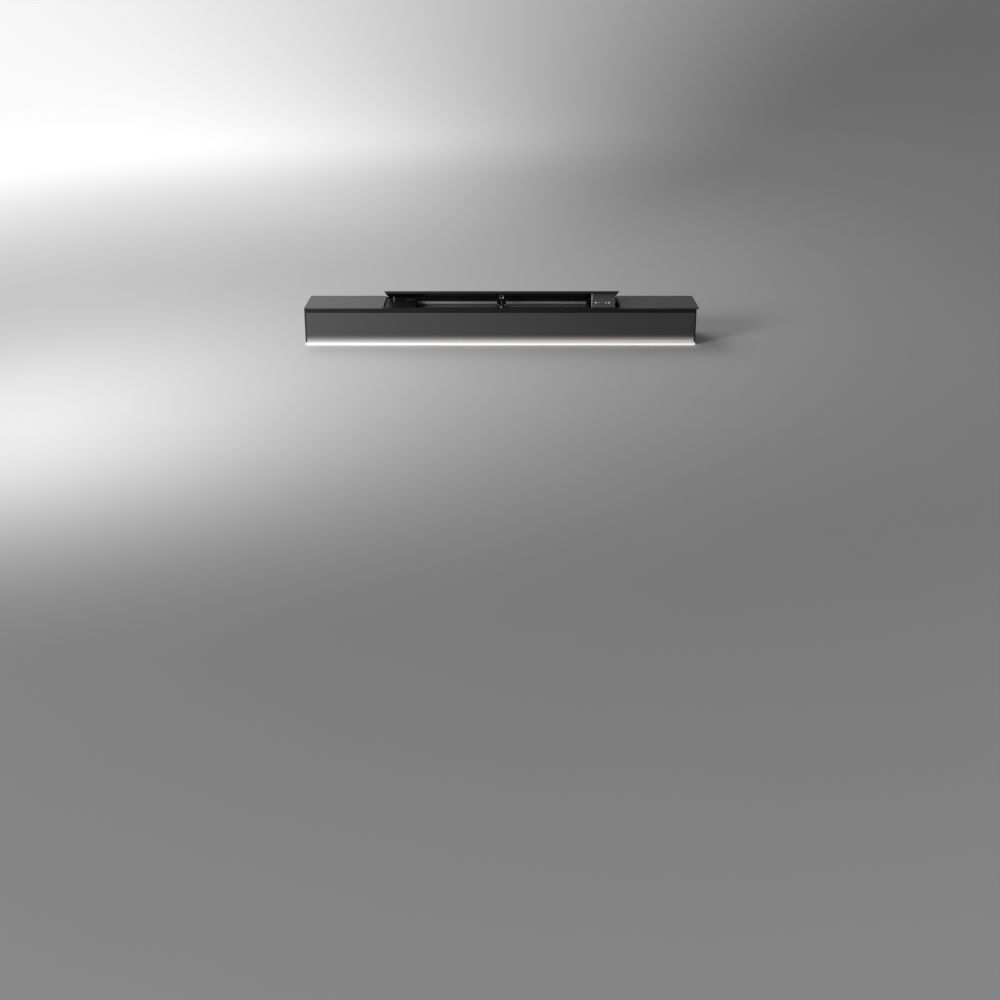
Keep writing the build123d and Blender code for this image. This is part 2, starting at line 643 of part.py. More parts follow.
# ---------------------------------------------------------------- lid damper
damper_top_y, damper_top_z = lid_point(-damper_lid_distance, -damper_lid_drop)
damper_rise = damper_top_z - damper_pivot_z
damper_run = damper_top_y - damper_pivot_y
damper_length = hypot(damper_rise, damper_run)
damper_plane = Plane(origin=(0, damper_pivot_y, damper_pivot_z), x_dir=(1, 0, 0),
                     z_dir=(0, damper_run, damper_rise))
cheek_x = damper_radius + side_gap
lug_x = damper_radius - damper_cheek + side_gap

with BuildPart() as damper_bracket:
    block((-cheek_x - damper_cheek - flange_width, cheek_x + damper_cheek + flange_width),
          (damper_slot_y[0] - flange_width, damper_slot_y[1] + flange_width),
          (deck_bottom_z - damper_cheek, deck_bottom_z))
    block((-cheek_x, cheek_x), damper_slot_y, (deck_bottom_z - damper_cheek, deck_bottom_z), Mode.SUBTRACT)
    for side in (-1, 1):
        cheek_limits = sorted((side * cheek_x, side * (cheek_x + damper_cheek)))
        block(cheek_limits, (damper_pivot_y - damper_radius - flange_width, damper_pivot_y + damper_radius),
              (damper_pivot_z - damper_radius, deck_bottom_z - damper_cheek))
    rod_along_x(damper_pin_radius, (-cheek_x, cheek_x), damper_pivot_y, damper_pivot_z)

with BuildPart(damper_plane) as damper_cylinder:
    rod_along_x(damper_radius, (-damper_radius, damper_radius), 0, 0)
    rod_along_z(damper_radius, 0, 0, (0, damper_cylinder_length))
    rod_along_z(damper_rod_radius + running_gap, 0, 0, (damper_bottom_wall, damper_cylinder_length),
                Mode.SUBTRACT)
    rod_along_x(damper_pin_radius + running_gap, (-damper_radius, damper_radius), 0, 0, Mode.SUBTRACT)

with BuildPart(damper_plane) as damper_rod:
    rod_along_z(damper_rod_radius, 0, 0, (damper_length - damper_rod_length, damper_length))
    rod_along_x(damper_eye_radius, (side_gap - lug_x, lug_x - side_gap), 0, damper_length)
    rod_along_x(damper_pin_radius + damper_eye_gap, (-lug_x, lug_x), 0, damper_length, Mode.SUBTRACT)

with BuildPart(lid_plane) as damper_lug:
    lug_v = (-damper_lid_distance - damper_radius, -damper_lid_distance + damper_radius)
    block((-lug_x - damper_cheek, lug_x + damper_cheek), lug_v, (lid_pan_low - leaf_thickness, lid_pan_low))
    for side in (-1, 1):
        ear_limits = sorted((side * lug_x, side * (lug_x + damper_cheek)))
        block(ear_limits, lug_v, (-damper_lid_drop - 2 * damper_cheek, lid_pan_low - leaf_thickness))
    rod_along_x(damper_pin_radius, (-lug_x, lug_x), -damper_lid_distance, -damper_lid_drop)

# ---------------------------------------------------------------- blowers
# The scroll is three quarter arcs, each one step larger than the one before, about centres
# that shift by the same step, so that they meet without a kink. The air leaves along +X.
arc_centres = [
    (blower_x, blower_y),
    (blower_x, blower_y + scroll_step),
    (blower_x + scroll_step, blower_y + scroll_step),
]
housing_floor_z = base_thickness + blower_wall
housing_top_z = base_thickness + blower_height


def scroll_outline(margin):
    """Outline of the blower's air passage in plan, widened by a margin."""
    last_x = arc_centres[-1][0]
    top_y = scroll_top_y + margin
    first_x = blower_x + scroll_radius + margin
    with BuildSketch() as outline:
        with BuildLine():
            for quarter, centre in enumerate(arc_centres):
                CenterArc(centre, scroll_radius + quarter * scroll_step + margin, -90 * quarter, -90)
            Polyline((last_x, top_y), (outlet_x, top_y), (outlet_x, tongue_y - margin),
                     (first_x, tongue_y - margin), (first_x, blower_y))
        make_face()
    return outline.sketch


with BuildPart() as blower_housing_right:
    with BuildSketch(Plane.XY.offset(base_thickness)):
        add(scroll_outline(blower_wall))
    extrude(amount=blower_height)
    with BuildSketch(Plane.XY.offset(housing_floor_z)):
        add(scroll_outline(0))
    extrude(amount=blower_height, mode=Mode.SUBTRACT)
    with Locations((blower_x, blower_y, housing_floor_z)):
        with PolarLocations(blower_screw_circle, blower_screw_count, start_angle=45):
            Hole(screw_radius, depth=blower_wall)

with BuildPart() as inlet_plate_right:
    with BuildSketch(Plane.XY.offset(housing_top_z)):
        add(scroll_outline(blower_wall))
    extrude(amount=inlet_plate_thickness)
    lip_z = (housing_top_z - inlet_lip, housing_top_z + inlet_plate_thickness)
    rod_along_z(inlet_radius + sheet, blower_x, blower_y, lip_z)
    rod_along_z(inlet_radius, blower_x, blower_y, lip_z, Mode.SUBTRACT)
    fillet(inlet_plate_right.faces().sort_by(Axis.Z)[-1].inner_wires().edges(), radius=sheet)

with BuildPart() as blower_motor_right:
    rod_along_z(motor_flange_radius, blower_x, blower_y, (housing_floor_z, housing_floor_z + sheet))
    motor_top_z = housing_floor_z + blower_motor_height
    rod_along_z(blower_motor_radius, blower_x, blower_y, (housing_floor_z, motor_top_z))
    rod_along_z(blower_shaft_radius + running_gap, blower_x, blower_y,
                (housing_floor_z + sheet, motor_top_z), Mode.SUBTRACT)
    with Locations((blower_x, blower_y, housing_floor_z + sheet)):
        with PolarLocations(blower_screw_circle, blower_screw_count, start_angle=45):
            Hole(screw_radius, depth=sheet)

with BuildPart() as blower_screws:
    seat_z = housing_floor_z + sheet
    for side in (-1, 1):
        with Locations((side * blower_x, blower_y, seat_z)):
            with PolarLocations(blower_screw_circle, blower_screw_count, start_angle=45):
                Cylinder(screw_radius, seat_z - pane_gap, align=(Align.CENTER, Align.CENTER, Align.MAX))
                Cylinder(screw_head_radius, screw_head_height, align=(Align.CENTER, Align.CENTER, Align.MIN))

impeller_low_z = housing_floor_z + impeller_bottom_gap
impeller_high_z = housing_top_z - impeller_top_gap
cup_radius = blower_motor_radius + blower_motor_gap
cup_top_z = impeller_low_z + cup_height
with BuildPart() as impeller_right:
    rod_along_z(impeller_radius, blower_x, blower_y, (impeller_low_z, impeller_low_z + impeller_disc))
    rod_along_z(cup_radius + impeller_disc, blower_x, blower_y, (impeller_low_z, cup_top_z))
    rod_along_z(cup_radius, blower_x, blower_y, (impeller_low_z, cup_top_z - impeller_disc), Mode.SUBTRACT)
    rod_along_z(blower_shaft_radius, blower_x, blower_y, (housing_floor_z + 2 * sheet, cup_top_z))
    with Locations((blower_x, blower_y, (impeller_low_z + impeller_high_z) / 2)):
        with PolarLocations(impeller_radius - blade_depth / 2, blade_count):
            Box(blade_depth, blade_thickness, impeller_high_z - impeller_low_z, rotation=(0, 0, blade_angle))
    with BuildSketch(Plane.XY.offset(impeller_high_z - impeller_disc)):
        with Locations((blower_x, blower_y)):
            Circle(impeller_radius)
            Circle(impeller_radius - blade_depth, mode=Mode.SUBTRACT)
    extrude(amount=impeller_disc)

# ---------------------------------------------------------------- discharge boxes
box_x = (outlet_x, box_outer_x)
box_y = (box_front_y, scroll_top_y + blower_wall)
box_top_z = base_thickness + box_height
window_y = (tongue_y + window_border, scroll_top_y - window_border)
window_z = (collar_height + window_border, housing_top_z - window_border)
rod_x = outlet_x + blower_wall + flap_gap + flap_rod_radius
rod_z = window_z[1] + flap_rod_radius + flap_gap
flap_y = (window_y[0] - window_border / 2, window_y[1] + window_border / 2)
ear_y = (
    (flap_y[0] - flap_gap - ear_thickness, flap_y[0] - flap_gap),
    (flap_y[1] + flap_gap, flap_y[1] + flap_gap + ear_thickness),
)

with BuildPart() as discharge_box_right:
    block(box_x, box_y, (base_thickness, box_top_z))
    block((box_x[0] + blower_wall, box_x[1] - blower_wall), (box_y[0] + blower_wall, box_y[1] - blower_wall),
          (base_thickness + blower_wall, box_top_z - blower_wall), Mode.SUBTRACT)
    block((box_x[0], box_x[0] + blower_wall), window_y, window_z, Mode.SUBTRACT)
    rod_along_z(duct_radius + duct_wall, duct_x, duct_y, (0, collar_height))
    rod_along_z(duct_radius, duct_x, duct_y, (0, collar_height), Mode.SUBTRACT)
    for y_limits in ear_y:
        block((box_x[0] + blower_wall, box_x[0] + blower_wall + ear_size), y_limits,
              (rod_z - ear_size / 2, rod_z + ear_size / 2))
        rod_along_y(flap_rod_radius + running_gap, rod_x, y_limits, rod_z, Mode.SUBTRACT)

with BuildPart() as backdraft_flap_right:
    rod_along_y(flap_rod_radius, rod_x, (ear_y[0][0], ear_y[1][1]), rod_z)
    block((rod_x - flap_thickness / 2, rod_x + flap_thickness / 2), flap_y,
          (window_z[0] - window_border / 2, rod_z))

with BuildPart() as blower_housing_left:
    mirror(blower_housing_right.part, about=Plane.YZ)

with BuildPart() as inlet_plate_left:
    mirror(inlet_plate_right.part, about=Plane.YZ)

with BuildPart() as blower_motor_left:
    mirror(blower_motor_right.part, about=Plane.YZ)

with BuildPart() as impeller_left:
    mirror(impeller_right.part, about=Plane.YZ)

with BuildPart() as discharge_box_left:
    mirror(discharge_box_right.part, about=Plane.YZ)

with BuildPart() as backdraft_flap_left:
    mirror(backdraft_flap_right.part, about=Plane.YZ)

# ---------------------------------------------------------------- electric parts
with BuildPart() as power_supply:
    block((duct_x - supply_length / 2, duct_x + supply_length / 2), (-supply_width / 2, supply_width / 2),
          (box_top_z, box_top_z + supply_height))

with BuildPart() as control_board:
    board_low_z = box_top_z + board_standoff
    with Locations((-duct_x, 0, board_low_z + board_thickness / 2)):
        Box(board_length, board_width, board_thickness)
    with Locations((-duct_x, 0, box_top_z + board_standoff / 2)):
        with GridLocations(board_length - flange_width, board_width - flange_width, 2, 2):
            Cylinder(screw_head_radius, board_standoff)
    with Locations((-duct_x, 0, board_low_z + board_thickness + board_part_height / 2)):
        with GridLocations(board_length / 2, board_width / 3, 2, 2):
            Box(board_length / 5, board_width / 6, board_part_height)

with BuildPart() as terminal_block:
    terminal_y = grommet_y + terminal_shift
    terminal_z = deck_height - terminal_drop
    block((divider_x + sheet, divider_x + sheet + terminal_depth),
          (terminal_y - terminal_length / 2, terminal_y + terminal_length / 2),
          (terminal_z, terminal_z + terminal_height))

with BuildPart() as cable_grommet:
    rod_along_z(grommet_radius, grommet_x, grommet_y, (0, grommet_height))
    rod_along_z(grommet_radius + grommet_flange, grommet_x, grommet_y,
                (base_thickness, base_thickness + 2 * sheet))
    rod_along_z(cable_radius, grommet_x, grommet_y, (0, grommet_height), Mode.SUBTRACT)

# ---------------------------------------------------------------- names and files
pieces = {
    "base_plate": base_plate,
    "rear_panel": rear_panel,
    "front_carrier": front_carrier,
    "front_glass": front_glass,
    "front_rim": front_rim,
    "end_panel_left": end_panel_left,
    "end_panel_right": end_panel_right,
    "top_plate_left": top_plate_left,
    "top_plate_right": top_plate_right,
    "bay_divider_left": bay_divider_left,
    "bay_divider_right": bay_divider_right,
    "light_profile": light_profile,
    "light_diffuser": light_diffuser,
    "led_board": led_board,
    "filter_deck": filter_deck,
    "grease_filter_left": grease_filter_left,
    "grease_filter_right": grease_filter_right,
    "filter_handles": filter_handles,
    "filter_trims": filter_trims,
    "centre_bridge": centre_bridge,
    "drip_tray": drip_tray,
    "module_cover_left": module_cover_left,
    "module_cover_right": module_cover_right,
    "pod_tray": pod_tray,
    "lid_glass": lid_glass,
    "lid_frame": lid_frame,
    "hinge_fixed_leaves": hinge_fixed_leaves,
    "hinge_moving_leaves": hinge_moving_leaves,
    "hinge_pins": hinge_pins,
    "pod_housing": pod_housing,
    "pod_glass": pod_glass,
    "pod_board": pod_board,
    "lift_motor_left": lift_motor_left,
    "lift_motor_right": lift_motor_right,
    "lift_brackets": lift_brackets,
    "lift_arm_left": lift_arm_left,
    "lift_arm_right": lift_arm_right,
    "damper_bracket": damper_bracket,
    "damper_cylinder": damper_cylinder,
    "damper_rod": damper_rod,
    "damper_lug": damper_lug,
    "blower_housing_left": blower_housing_left,
    "blower_housing_right": blower_housing_right,
    "inlet_plate_left": inlet_plate_left,
    "inlet_plate_right": inlet_plate_right,
    "blower_motor_left": blower_motor_left,
    "blower_motor_right": blower_motor_right,
    "blower_screws": blower_screws,
    "impeller_left": impeller_left,
    "impeller_right": impeller_right,
    "discharge_box_left": discharge_box_left,
    "discharge_box_right": discharge_box_right,
    "backdraft_flap_left": backdraft_flap_left,
    "backdraft_flap_right": backdraft_flap_right,
    "power_supply": power_supply,
    "control_board": control_board,
    "terminal_block": terminal_block,
    "cable_grommet": cable_grommet,
}
os.makedirs("parts", exist_ok=True)
for name, piece in pieces.items():
    piece.part.label = name
    export_step(piece.part, f"parts/{name}.step")
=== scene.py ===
"""Looks of a worktop downdraft vent: satin grey glass, a hinged lid over mesh filters, a light strip.

Everything is in metres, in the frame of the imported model: X along the vent, -Y the front, +Z up.
"""
import json
import math

import bmesh
import bpy
from mathutils import Matrix, Vector


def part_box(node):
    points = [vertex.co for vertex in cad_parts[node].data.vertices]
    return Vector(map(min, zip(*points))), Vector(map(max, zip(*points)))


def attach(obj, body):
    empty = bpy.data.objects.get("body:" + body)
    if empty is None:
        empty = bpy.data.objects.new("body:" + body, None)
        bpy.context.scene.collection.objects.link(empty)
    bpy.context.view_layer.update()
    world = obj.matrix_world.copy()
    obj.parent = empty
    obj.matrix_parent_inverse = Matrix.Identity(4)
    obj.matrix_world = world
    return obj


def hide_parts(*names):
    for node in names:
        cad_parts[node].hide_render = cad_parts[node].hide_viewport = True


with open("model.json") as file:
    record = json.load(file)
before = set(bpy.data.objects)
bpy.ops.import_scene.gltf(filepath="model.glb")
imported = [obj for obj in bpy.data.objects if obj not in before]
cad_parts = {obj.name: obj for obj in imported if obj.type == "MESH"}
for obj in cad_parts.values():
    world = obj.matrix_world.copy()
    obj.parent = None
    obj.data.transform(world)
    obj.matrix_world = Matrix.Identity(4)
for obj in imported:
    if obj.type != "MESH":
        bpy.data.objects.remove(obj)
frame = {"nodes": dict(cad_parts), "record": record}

nodes = frame["nodes"]
body_of_node = {
    name: body
    for body, members in frame["record"]["behaviour"]["bodies"].items()
    for name in members
}
slot_of_node = {row["node"]: row["material_slot"] for row in frame["record"]["subparts"]}
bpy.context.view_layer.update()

MM = 0.001

# ---------------------------------------------------------------- material helpers


def add_node(tree, kind, inputs=None, **settings):
    """A shader or geometry node with its settings and its unlinked input values."""
    made = tree.nodes.new(kind)
    for key, value in settings.items():
        setattr(made, key, value)
    for key, value in (inputs or {}).items():
        made.inputs[key].default_value = value
    return made


def math_on(tree, operation, first, second):
    """A math node on two sockets or numbers, as a socket."""
    made = add_node(tree, "ShaderNodeMath", operation=operation)
    for socket, value in ((made.inputs[0], first), (made.inputs[1], second)):
        if isinstance(value, (int, float)):
            socket.default_value = value
        else:
            tree.links.new(value, socket)
    return made.outputs["Value"]


def parts_of(tree, vector):
    """The X, Y and Z of a vector socket, as sockets."""
    made = add_node(tree, "ShaderNodeSeparateXYZ")
    tree.links.new(vector, made.inputs["Vector"])
    return made.outputs


def blank_material(name):
    """An empty Principled material, its tree and its shader."""
    material = bpy.data.materials.new(name)
    material.use_nodes = True
    return material, material.node_tree, material.node_tree.nodes["Principled BSDF"]


def place_on(tree, stretch, turn=(0.0, 0.0, 0.0)):
    """Object coordinates stretched along each axis, as a socket."""
    coordinates = add_node(tree, "ShaderNodeTexCoord")
    mapping = add_node(tree, "ShaderNodeMapping", {"Scale": stretch, "Rotation": turn})
    tree.links.new(coordinates.outputs["Object"], mapping.inputs["Vector"])
    return mapping.outputs["Vector"]


def noise_on(tree, where, scale, detail=3.0, rough=0.55):
    """A noise value in the given coordinates, as a socket."""
    noise = add_node(tree, "ShaderNodeTexNoise",
                     {"Scale": scale, "Detail": detail, "Roughness": rough})
    tree.links.new(where, noise.inputs["Vector"])
    return noise.outputs["Fac"]


def spread(tree, value, low, high, start=0.3, end=0.7, curve="LINEAR"):
    """The value mapped from start..end to low..high, as a socket."""
    mapped = add_node(tree, "ShaderNodeMapRange",
                      {"From Min": start, "From Max": end, "To Min": low, "To Max": high},
                      interpolation_type=curve)
    tree.links.new(value, mapped.inputs["Value"])
    return mapped.outputs["Result"]


def tint(tree, value, dark, light):
    """A colour between two others, by a value, as a socket."""
    mix = add_node(tree, "ShaderNodeMix", data_type="RGBA")
    mix.inputs["A"].default_value = (*dark, 1.0)
    mix.inputs["B"].default_value = (*light, 1.0)
    tree.links.new(value, mix.inputs["Factor"])
    return mix.outputs["Result"]


def scaled(colour, factor):
    """A colour made brighter or darker by a factor."""
    return tuple(min(1.0, channel * factor) for channel in colour)


def relief(tree, shader, value, depth, strength=0.5):
    """A bump of the given depth on the shader."""
    bump = add_node(tree, "ShaderNodeBump", {"Strength": strength, "Distance": depth})
    tree.links.new(value, bump.inputs["Height"])
    tree.links.new(bump.outputs["Normal"], shader.inputs["Normal"])


EVEN = (1.0, 1.0, 1.0)
ALONG_X = (0.02, 1.0, 1.0)          # grain drawn out along the vent
BROAD_SCALE = 9.0                   # of the faint change of colour across a piece
ROUGHNESS_CHANGE = 0.06             # to either side of a finish's own roughness


def finish_material(name, colour, metallic, roughness, grain, grain_scale, depth, mottle, specular=0.5):
    """A finish with fine grain in its relief and roughness and a broad, faint change of colour. The
    grain is stretched as given, and its relief has a depth in metres."""
    material, tree, shader = blank_material(name)
    fine = noise_on(tree, place_on(tree, grain), grain_scale)
    broad = noise_on(tree, place_on(tree, EVEN), BROAD_SCALE, 4.0)
    level = math_on(tree, "ADD", spread(tree, fine, 0.0, 0.5), spread(tree, broad, 0.0, 0.5))
    tree.links.new(tint(tree, level, scaled(colour, 1 - mottle), scaled(colour, 1 + mottle)),
                   shader.inputs["Base Color"])
    low, high = roughness - ROUGHNESS_CHANGE, roughness + ROUGHNESS_CHANGE
    tree.links.new(spread(tree, level, low, high, 0.0, 1.0), shader.inputs["Roughness"])
    shader.inputs["Metallic"].default_value = metallic
    shader.inputs["Specular IOR Level"].default_value = specular
    relief(tree, shader, fine, depth)
    return material


# Each finish: name, colour, metallic, roughness, grain direction, grain scale, relief depth, mottle
coated_steel = finish_material(
    "black_coated_steel", (0.011, 0.011, 0.012), 0.0, 0.50, EVEN, 1400.0, 0.00006, 0.10, specular=0.4)
end_paint = finish_material(
    "end_panel_paint", (0.011, 0.011, 0.012), 0.0, 0.46, EVEN, 1100.0, 0.00004, 0.10)
black_anodised = finish_material(
    "black_anodised_aluminium", (0.016, 0.016, 0.017), 0.0, 0.48, ALONG_X, 2600.0, 0.00003, 0.15,
    specular=0.22)
aluminium = finish_material(
    "brushed_aluminium", (0.66, 0.67, 0.68), 0.7, 0.58, ALONG_X, 3200.0, 0.00003, 0.10)
bright_steel = finish_material(
    "bright_steel", (0.70, 0.70, 0.71), 0.8, 0.40, EVEN, 2400.0, 0.00002, 0.08)
filter_metal = finish_material(
    "dark_anodised_filter", (0.135, 0.136, 0.138), 0.30, 0.46, EVEN, 1600.0, 0.00004, 0.12)
black_plastic = finish_material(
    "textured_black_plastic", (0.011, 0.011, 0.0115), 0.0, 0.56, EVEN, 2200.0, 0.00008, 0.12,
    specular=0.35)
rim_finish = finish_material(
    "front_rim_finish", (0.008, 0.008, 0.0085), 0.0, 0.52, ALONG_X, 2400.0, 0.00003, 0.12,
    specular=0.25)
rod_finish = finish_material(
    "dark_chrome_rod", (0.30, 0.30, 0.31), 1.0, 0.24, EVEN, 2600.0, 0.00001, 0.06)
rubber = finish_material(
    "black_rubber", (0.016, 0.016, 0.016), 0.0, 0.70, EVEN, 1800.0, 0.00006, 0.12)

GLOW_POWER = 2.5                    # how fast the strip's bleed fades up the front glass
GLOW_STRENGTH = 0.60
GLOW_COLOUR = (1.0, 0.955, 0.92)
GLOW_HEIGHT = 34 * MM
SHEEN_CHANGE = 0.015                # wipe marks, in roughness and in the share of the colour


def coated_glass(name, colour, roughness, specular, glow_height=None):
    """Satin glass, coated dark on the back, with faint wipe marks in its sheen. A pane with a glow height
    gets painted light: it glows a short way up from its lower edge, as if lit by the light strip."""
    material, tree, shader = blank_material(name)
    satin = noise_on(tree, place_on(tree, EVEN), 2600.0, 2.0)
    wipe = noise_on(tree, place_on(tree, (0.35, 1.6, 1.6), (0.0, 0.0, 0.3)), 7.0, 5.0, 0.6)
    shade = tint(tree, spread(tree, wipe, 0.0, 1.0), scaled(colour, 1 - SHEEN_CHANGE),
                 scaled(colour, 1 + SHEEN_CHANGE))
    tree.links.new(shade, shader.inputs["Base Color"])
    tree.links.new(spread(tree, wipe, roughness - SHEEN_CHANGE, roughness + SHEEN_CHANGE),
                   shader.inputs["Roughness"])
    shader.inputs["Specular IOR Level"].default_value = specular
    relief(tree, shader, satin, 0.00001, 0.15)
    # Painted light: emission that fades up from the pane's foot stands for the strip's light on the glass
    if glow_height:
        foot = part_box("front_glass")[0].z
        fall = spread(tree, parts_of(tree, place_on(tree, EVEN))["Z"], 1.0, 0.0, foot, foot + glow_height)
        glow = spread(tree, math_on(tree, "POWER", fall, GLOW_POWER), 0.0, GLOW_STRENGTH, 0.0, 1.0)
        tree.links.new(glow, shader.inputs["Emission Strength"])
        shader.inputs["Emission Color"].default_value = (*GLOW_COLOUR, 1.0)
    return material


top_glass = coated_glass("satin_grey_top_glass", (0.060, 0.0602, 0.0606), 0.42, 0.20)
front_pane = coated_glass("satin_grey_front_glass", (0.064, 0.064, 0.0645), 0.30, 0.35, GLOW_HEIGHT)


def opal_material():
    """Lit opal plastic with barely brighter spots in front of each light chip. Its light is painted dimmer
    towards the top, as shade under the front glass's lower edge.
    """
    material, tree, shader = blank_material("lit_opal_plastic")
    wave = add_node(tree, "ShaderNodeTexWave", {"Scale": 19.0, "Distortion": 0.0}, wave_type="BANDS",
                    bands_direction="X", wave_profile="SIN")
    tree.links.new(place_on(tree, EVEN), wave.inputs["Vector"])
    low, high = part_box("light_diffuser")
    # Painted shade: the emission dims from the foot of the diffuser to its top
    painted_shade_fade = spread(tree, parts_of(tree, place_on(tree, EVEN))["Z"], 1.0, 0.12, low.z, high.z)
    chips = spread(tree, wave.outputs["Fac"], 0.82, 0.92, 0.0, 1.0)
    tree.links.new(math_on(tree, "MULTIPLY", painted_shade_fade, chips), shader.inputs["Emission Strength"])
    shader.inputs["Emission Color"].default_value = (1.0, 0.965, 0.92, 1.0)
    grain = noise_on(tree, place_on(tree, EVEN), 900.0)
    tree.links.new(tint(tree, grain, (0.44, 0.43, 0.42), (0.50, 0.49, 0.48)),
                   shader.inputs["Base Color"])
    shader.inputs["Roughness"].default_value = 0.45
    return material


def galvanised_material():
    """Zinc with its crystal spangle."""
    material, tree, shader = blank_material("galvanised_sheet")
    cells = add_node(tree, "ShaderNodeTexVoronoi", {"Scale": 110.0, "Randomness": 1.0})
    tree.links.new(place_on(tree, EVEN), cells.inputs["Vector"])
    flake = add_node(tree, "ShaderNodeSeparateColor")
    tree.links.new(cells.outputs["Color"], flake.inputs["Color"])
    tree.links.new(tint(tree, flake.outputs["Red"], (0.38, 0.39, 0.40), (0.58, 0.59, 0.60)),
                   shader.inputs["Base Color"])
    tree.links.new(spread(tree, flake.outputs["Green"], 0.28, 0.48, 0.0, 1.0),
                   shader.inputs["Roughness"])
    shader.inputs["Metallic"].default_value = 1.0
    relief(tree, shader, noise_on(tree, place_on(tree, EVEN), 500.0), 0.00005, 0.4)
    return material


def board_material():
    """Green circuit board with a grid of tracks."""
    material, tree, shader = blank_material("circuit_board")
    tracks = add_node(tree, "ShaderNodeTexBrick",
                      {"Scale": 160.0, "Mortar Size": 0.08, "Color1": (0.010, 0.075, 0.030, 1),
                       "Color2": (0.014, 0.095, 0.040, 1), "Mortar": (0.055, 0.17, 0.075, 1)})
    tree.links.new(place_on(tree, EVEN), tracks.inputs["Vector"])
    tree.links.new(tracks.outputs["Color"], shader.inputs["Base Color"])
    tree.links.new(spread(tree, tracks.outputs["Fac"], 0.32, 0.42, 0.0, 1.0), shader.inputs["Roughness"])
    relief(tree, shader, tracks.outputs["Fac"], 0.00005, 0.4)
    return material


def mark_material():
    """Pale printed touch marks, lit faintly from behind."""
    material, tree, shader = blank_material("pale_touch_marks")
    grain = noise_on(tree, place_on(tree, EVEN), 2500.0)
    tree.links.new(tint(tree, grain, (0.60, 0.61, 0.62), (0.78, 0.79, 0.80)),
                   shader.inputs["Base Color"])
    shader.inputs["Roughness"].default_value = 0.5
    shader.inputs["Emission Color"].default_value = (0.95, 0.97, 1.0, 1.0)
    shader.inputs["Emission Strength"].default_value = 0.8
    return material


PAINTED_LIGHT_FOOT = 8 * MM                  # painted light: the pod's glass is painted palest up to here


def touch_material():
    """Touch glass with painted light and shade: its grey is palest at the foot and darkens upwards into
    the shade of the lid.
    """
    material, tree, shader = blank_material("touch_panel_glass")
    low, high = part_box("pod_glass")
    # Painted light and shade: pale grey at the foot, near black higher up under the lid
    rise = spread(tree, parts_of(tree, place_on(tree, EVEN))["Z"], 0.0, 1.0, low.z + PAINTED_LIGHT_FOOT, high.z)
    tree.links.new(tint(tree, rise, (0.165, 0.165, 0.167), (0.028, 0.028, 0.029)),
                   shader.inputs["Base Color"])
    sheen = noise_on(tree, place_on(tree, EVEN), 30.0)
    tree.links.new(spread(tree, sheen, 0.27, 0.33), shader.inputs["Roughness"])
    shader.inputs["Specular IOR Level"].default_value = 0.4
    shader.inputs["Coat Weight"].default_value = 0.2
    shader.inputs["Coat Roughness"].default_value = 0.08
    return material


opal = opal_material()
galvanised = galvanised_material()
board = board_material()
touch_marks = mark_material()
touch_panel = touch_material()

material_of_slot = {
    "black_steel": coated_steel,
    "end_panel": end_paint,
    "grey_glass": top_glass,
    "front_glass": front_pane,
    "light_diffuser": opal,
    "aluminium": aluminium,
    "black_aluminium": black_anodised,
    "filter": filter_metal,
    "galvanised": galvanised,
    "steel": bright_steel,
    "black_plastic": black_plastic,
    "gloss_black": touch_panel,
    "board": board,
    "rubber": rubber,
}
OWN_FINISH = {"front_rim": rim_finish, "damper_rod": rod_finish}


def finish_of(name):
    """A node's own finish, or else its slot's."""
    return OWN_FINISH.get(name) or material_of_slot[slot_of_node[name]]


for name, part in nodes.items():
    part.data.materials.clear()
    part.data.materials.append(finish_of(name))

# ---------------------------------------------------------------- pieces with eased edges
SHARP_FROM = math.radians(32.0)     # edges sharper than this stay sharp in the shading
EASE_FROM = math.radians(40.0)      # and edges sharper than this are rounded
DOUBLES = 0.01 * MM                 # points nearer than this are one
FLAT_WITHIN = math.radians(1.0)     # faces this close to one plane are joined
ROUND_SEGMENTS = 32


def piece_from(mesh, name, body, slot, material=None):
    """A finished piece at the origin, riding on a body."""
    piece = bpy.data.objects.new(name, mesh)
    bpy.context.scene.collection.objects.link(piece)
    mesh.materials.clear()
    mesh.materials.append(material or material_of_slot[slot])
    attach(piece, body)
    return piece


def shade_by_angle(mesh):
    """Smooth shading that keeps the sharp edges."""
    mesh.polygons.foreach_set("use_smooth", [True] * len(mesh.polygons))
    mesh.set_sharp_from_angle(angle=SHARP_FROM)


def merged_copy(name):
    """A node's mesh with its doubles merged and its flat faces joined."""
    mesh = nodes[name].data.copy()
    work = bmesh.new()
    work.from_mesh(mesh)
    bmesh.ops.remove_doubles(work, verts=work.verts, dist=DOUBLES)
    bmesh.ops.dissolve_limit(work, angle_limit=FLAT_WITHIN, verts=work.verts, edges=work.edges,
                             delimit=set())
    work.to_mesh(mesh)
    work.free()
    return mesh


def helper_object(mesh):
    """An object that only carries a mesh and its modifiers for a while."""
    helper = bpy.data.objects.new("helper", mesh)
    bpy.context.scene.collection.objects.link(helper)
    return helper


def add_bevel(helper, width, segments=1):
    """Rounds the sharp edges of a helper object."""
    bevel = helper.modifiers.new("ease", "BEVEL")
    bevel.width = width
    bevel.segments = segments
    bevel.limit_method = "ANGLE"
    bevel.angle_limit = EASE_FROM


def taken_from(helper, mesh_name):
    """The mesh of a helper object with its modifiers, as a plain mesh. The helper is removed."""
    bpy.context.view_layer.update()
    ready = helper.evaluated_get(bpy.context.evaluated_depsgraph_get())
    mesh = bpy.data.meshes.new_from_object(ready)
    mesh.name = mesh_name
    bpy.data.objects.remove(helper)
    return mesh


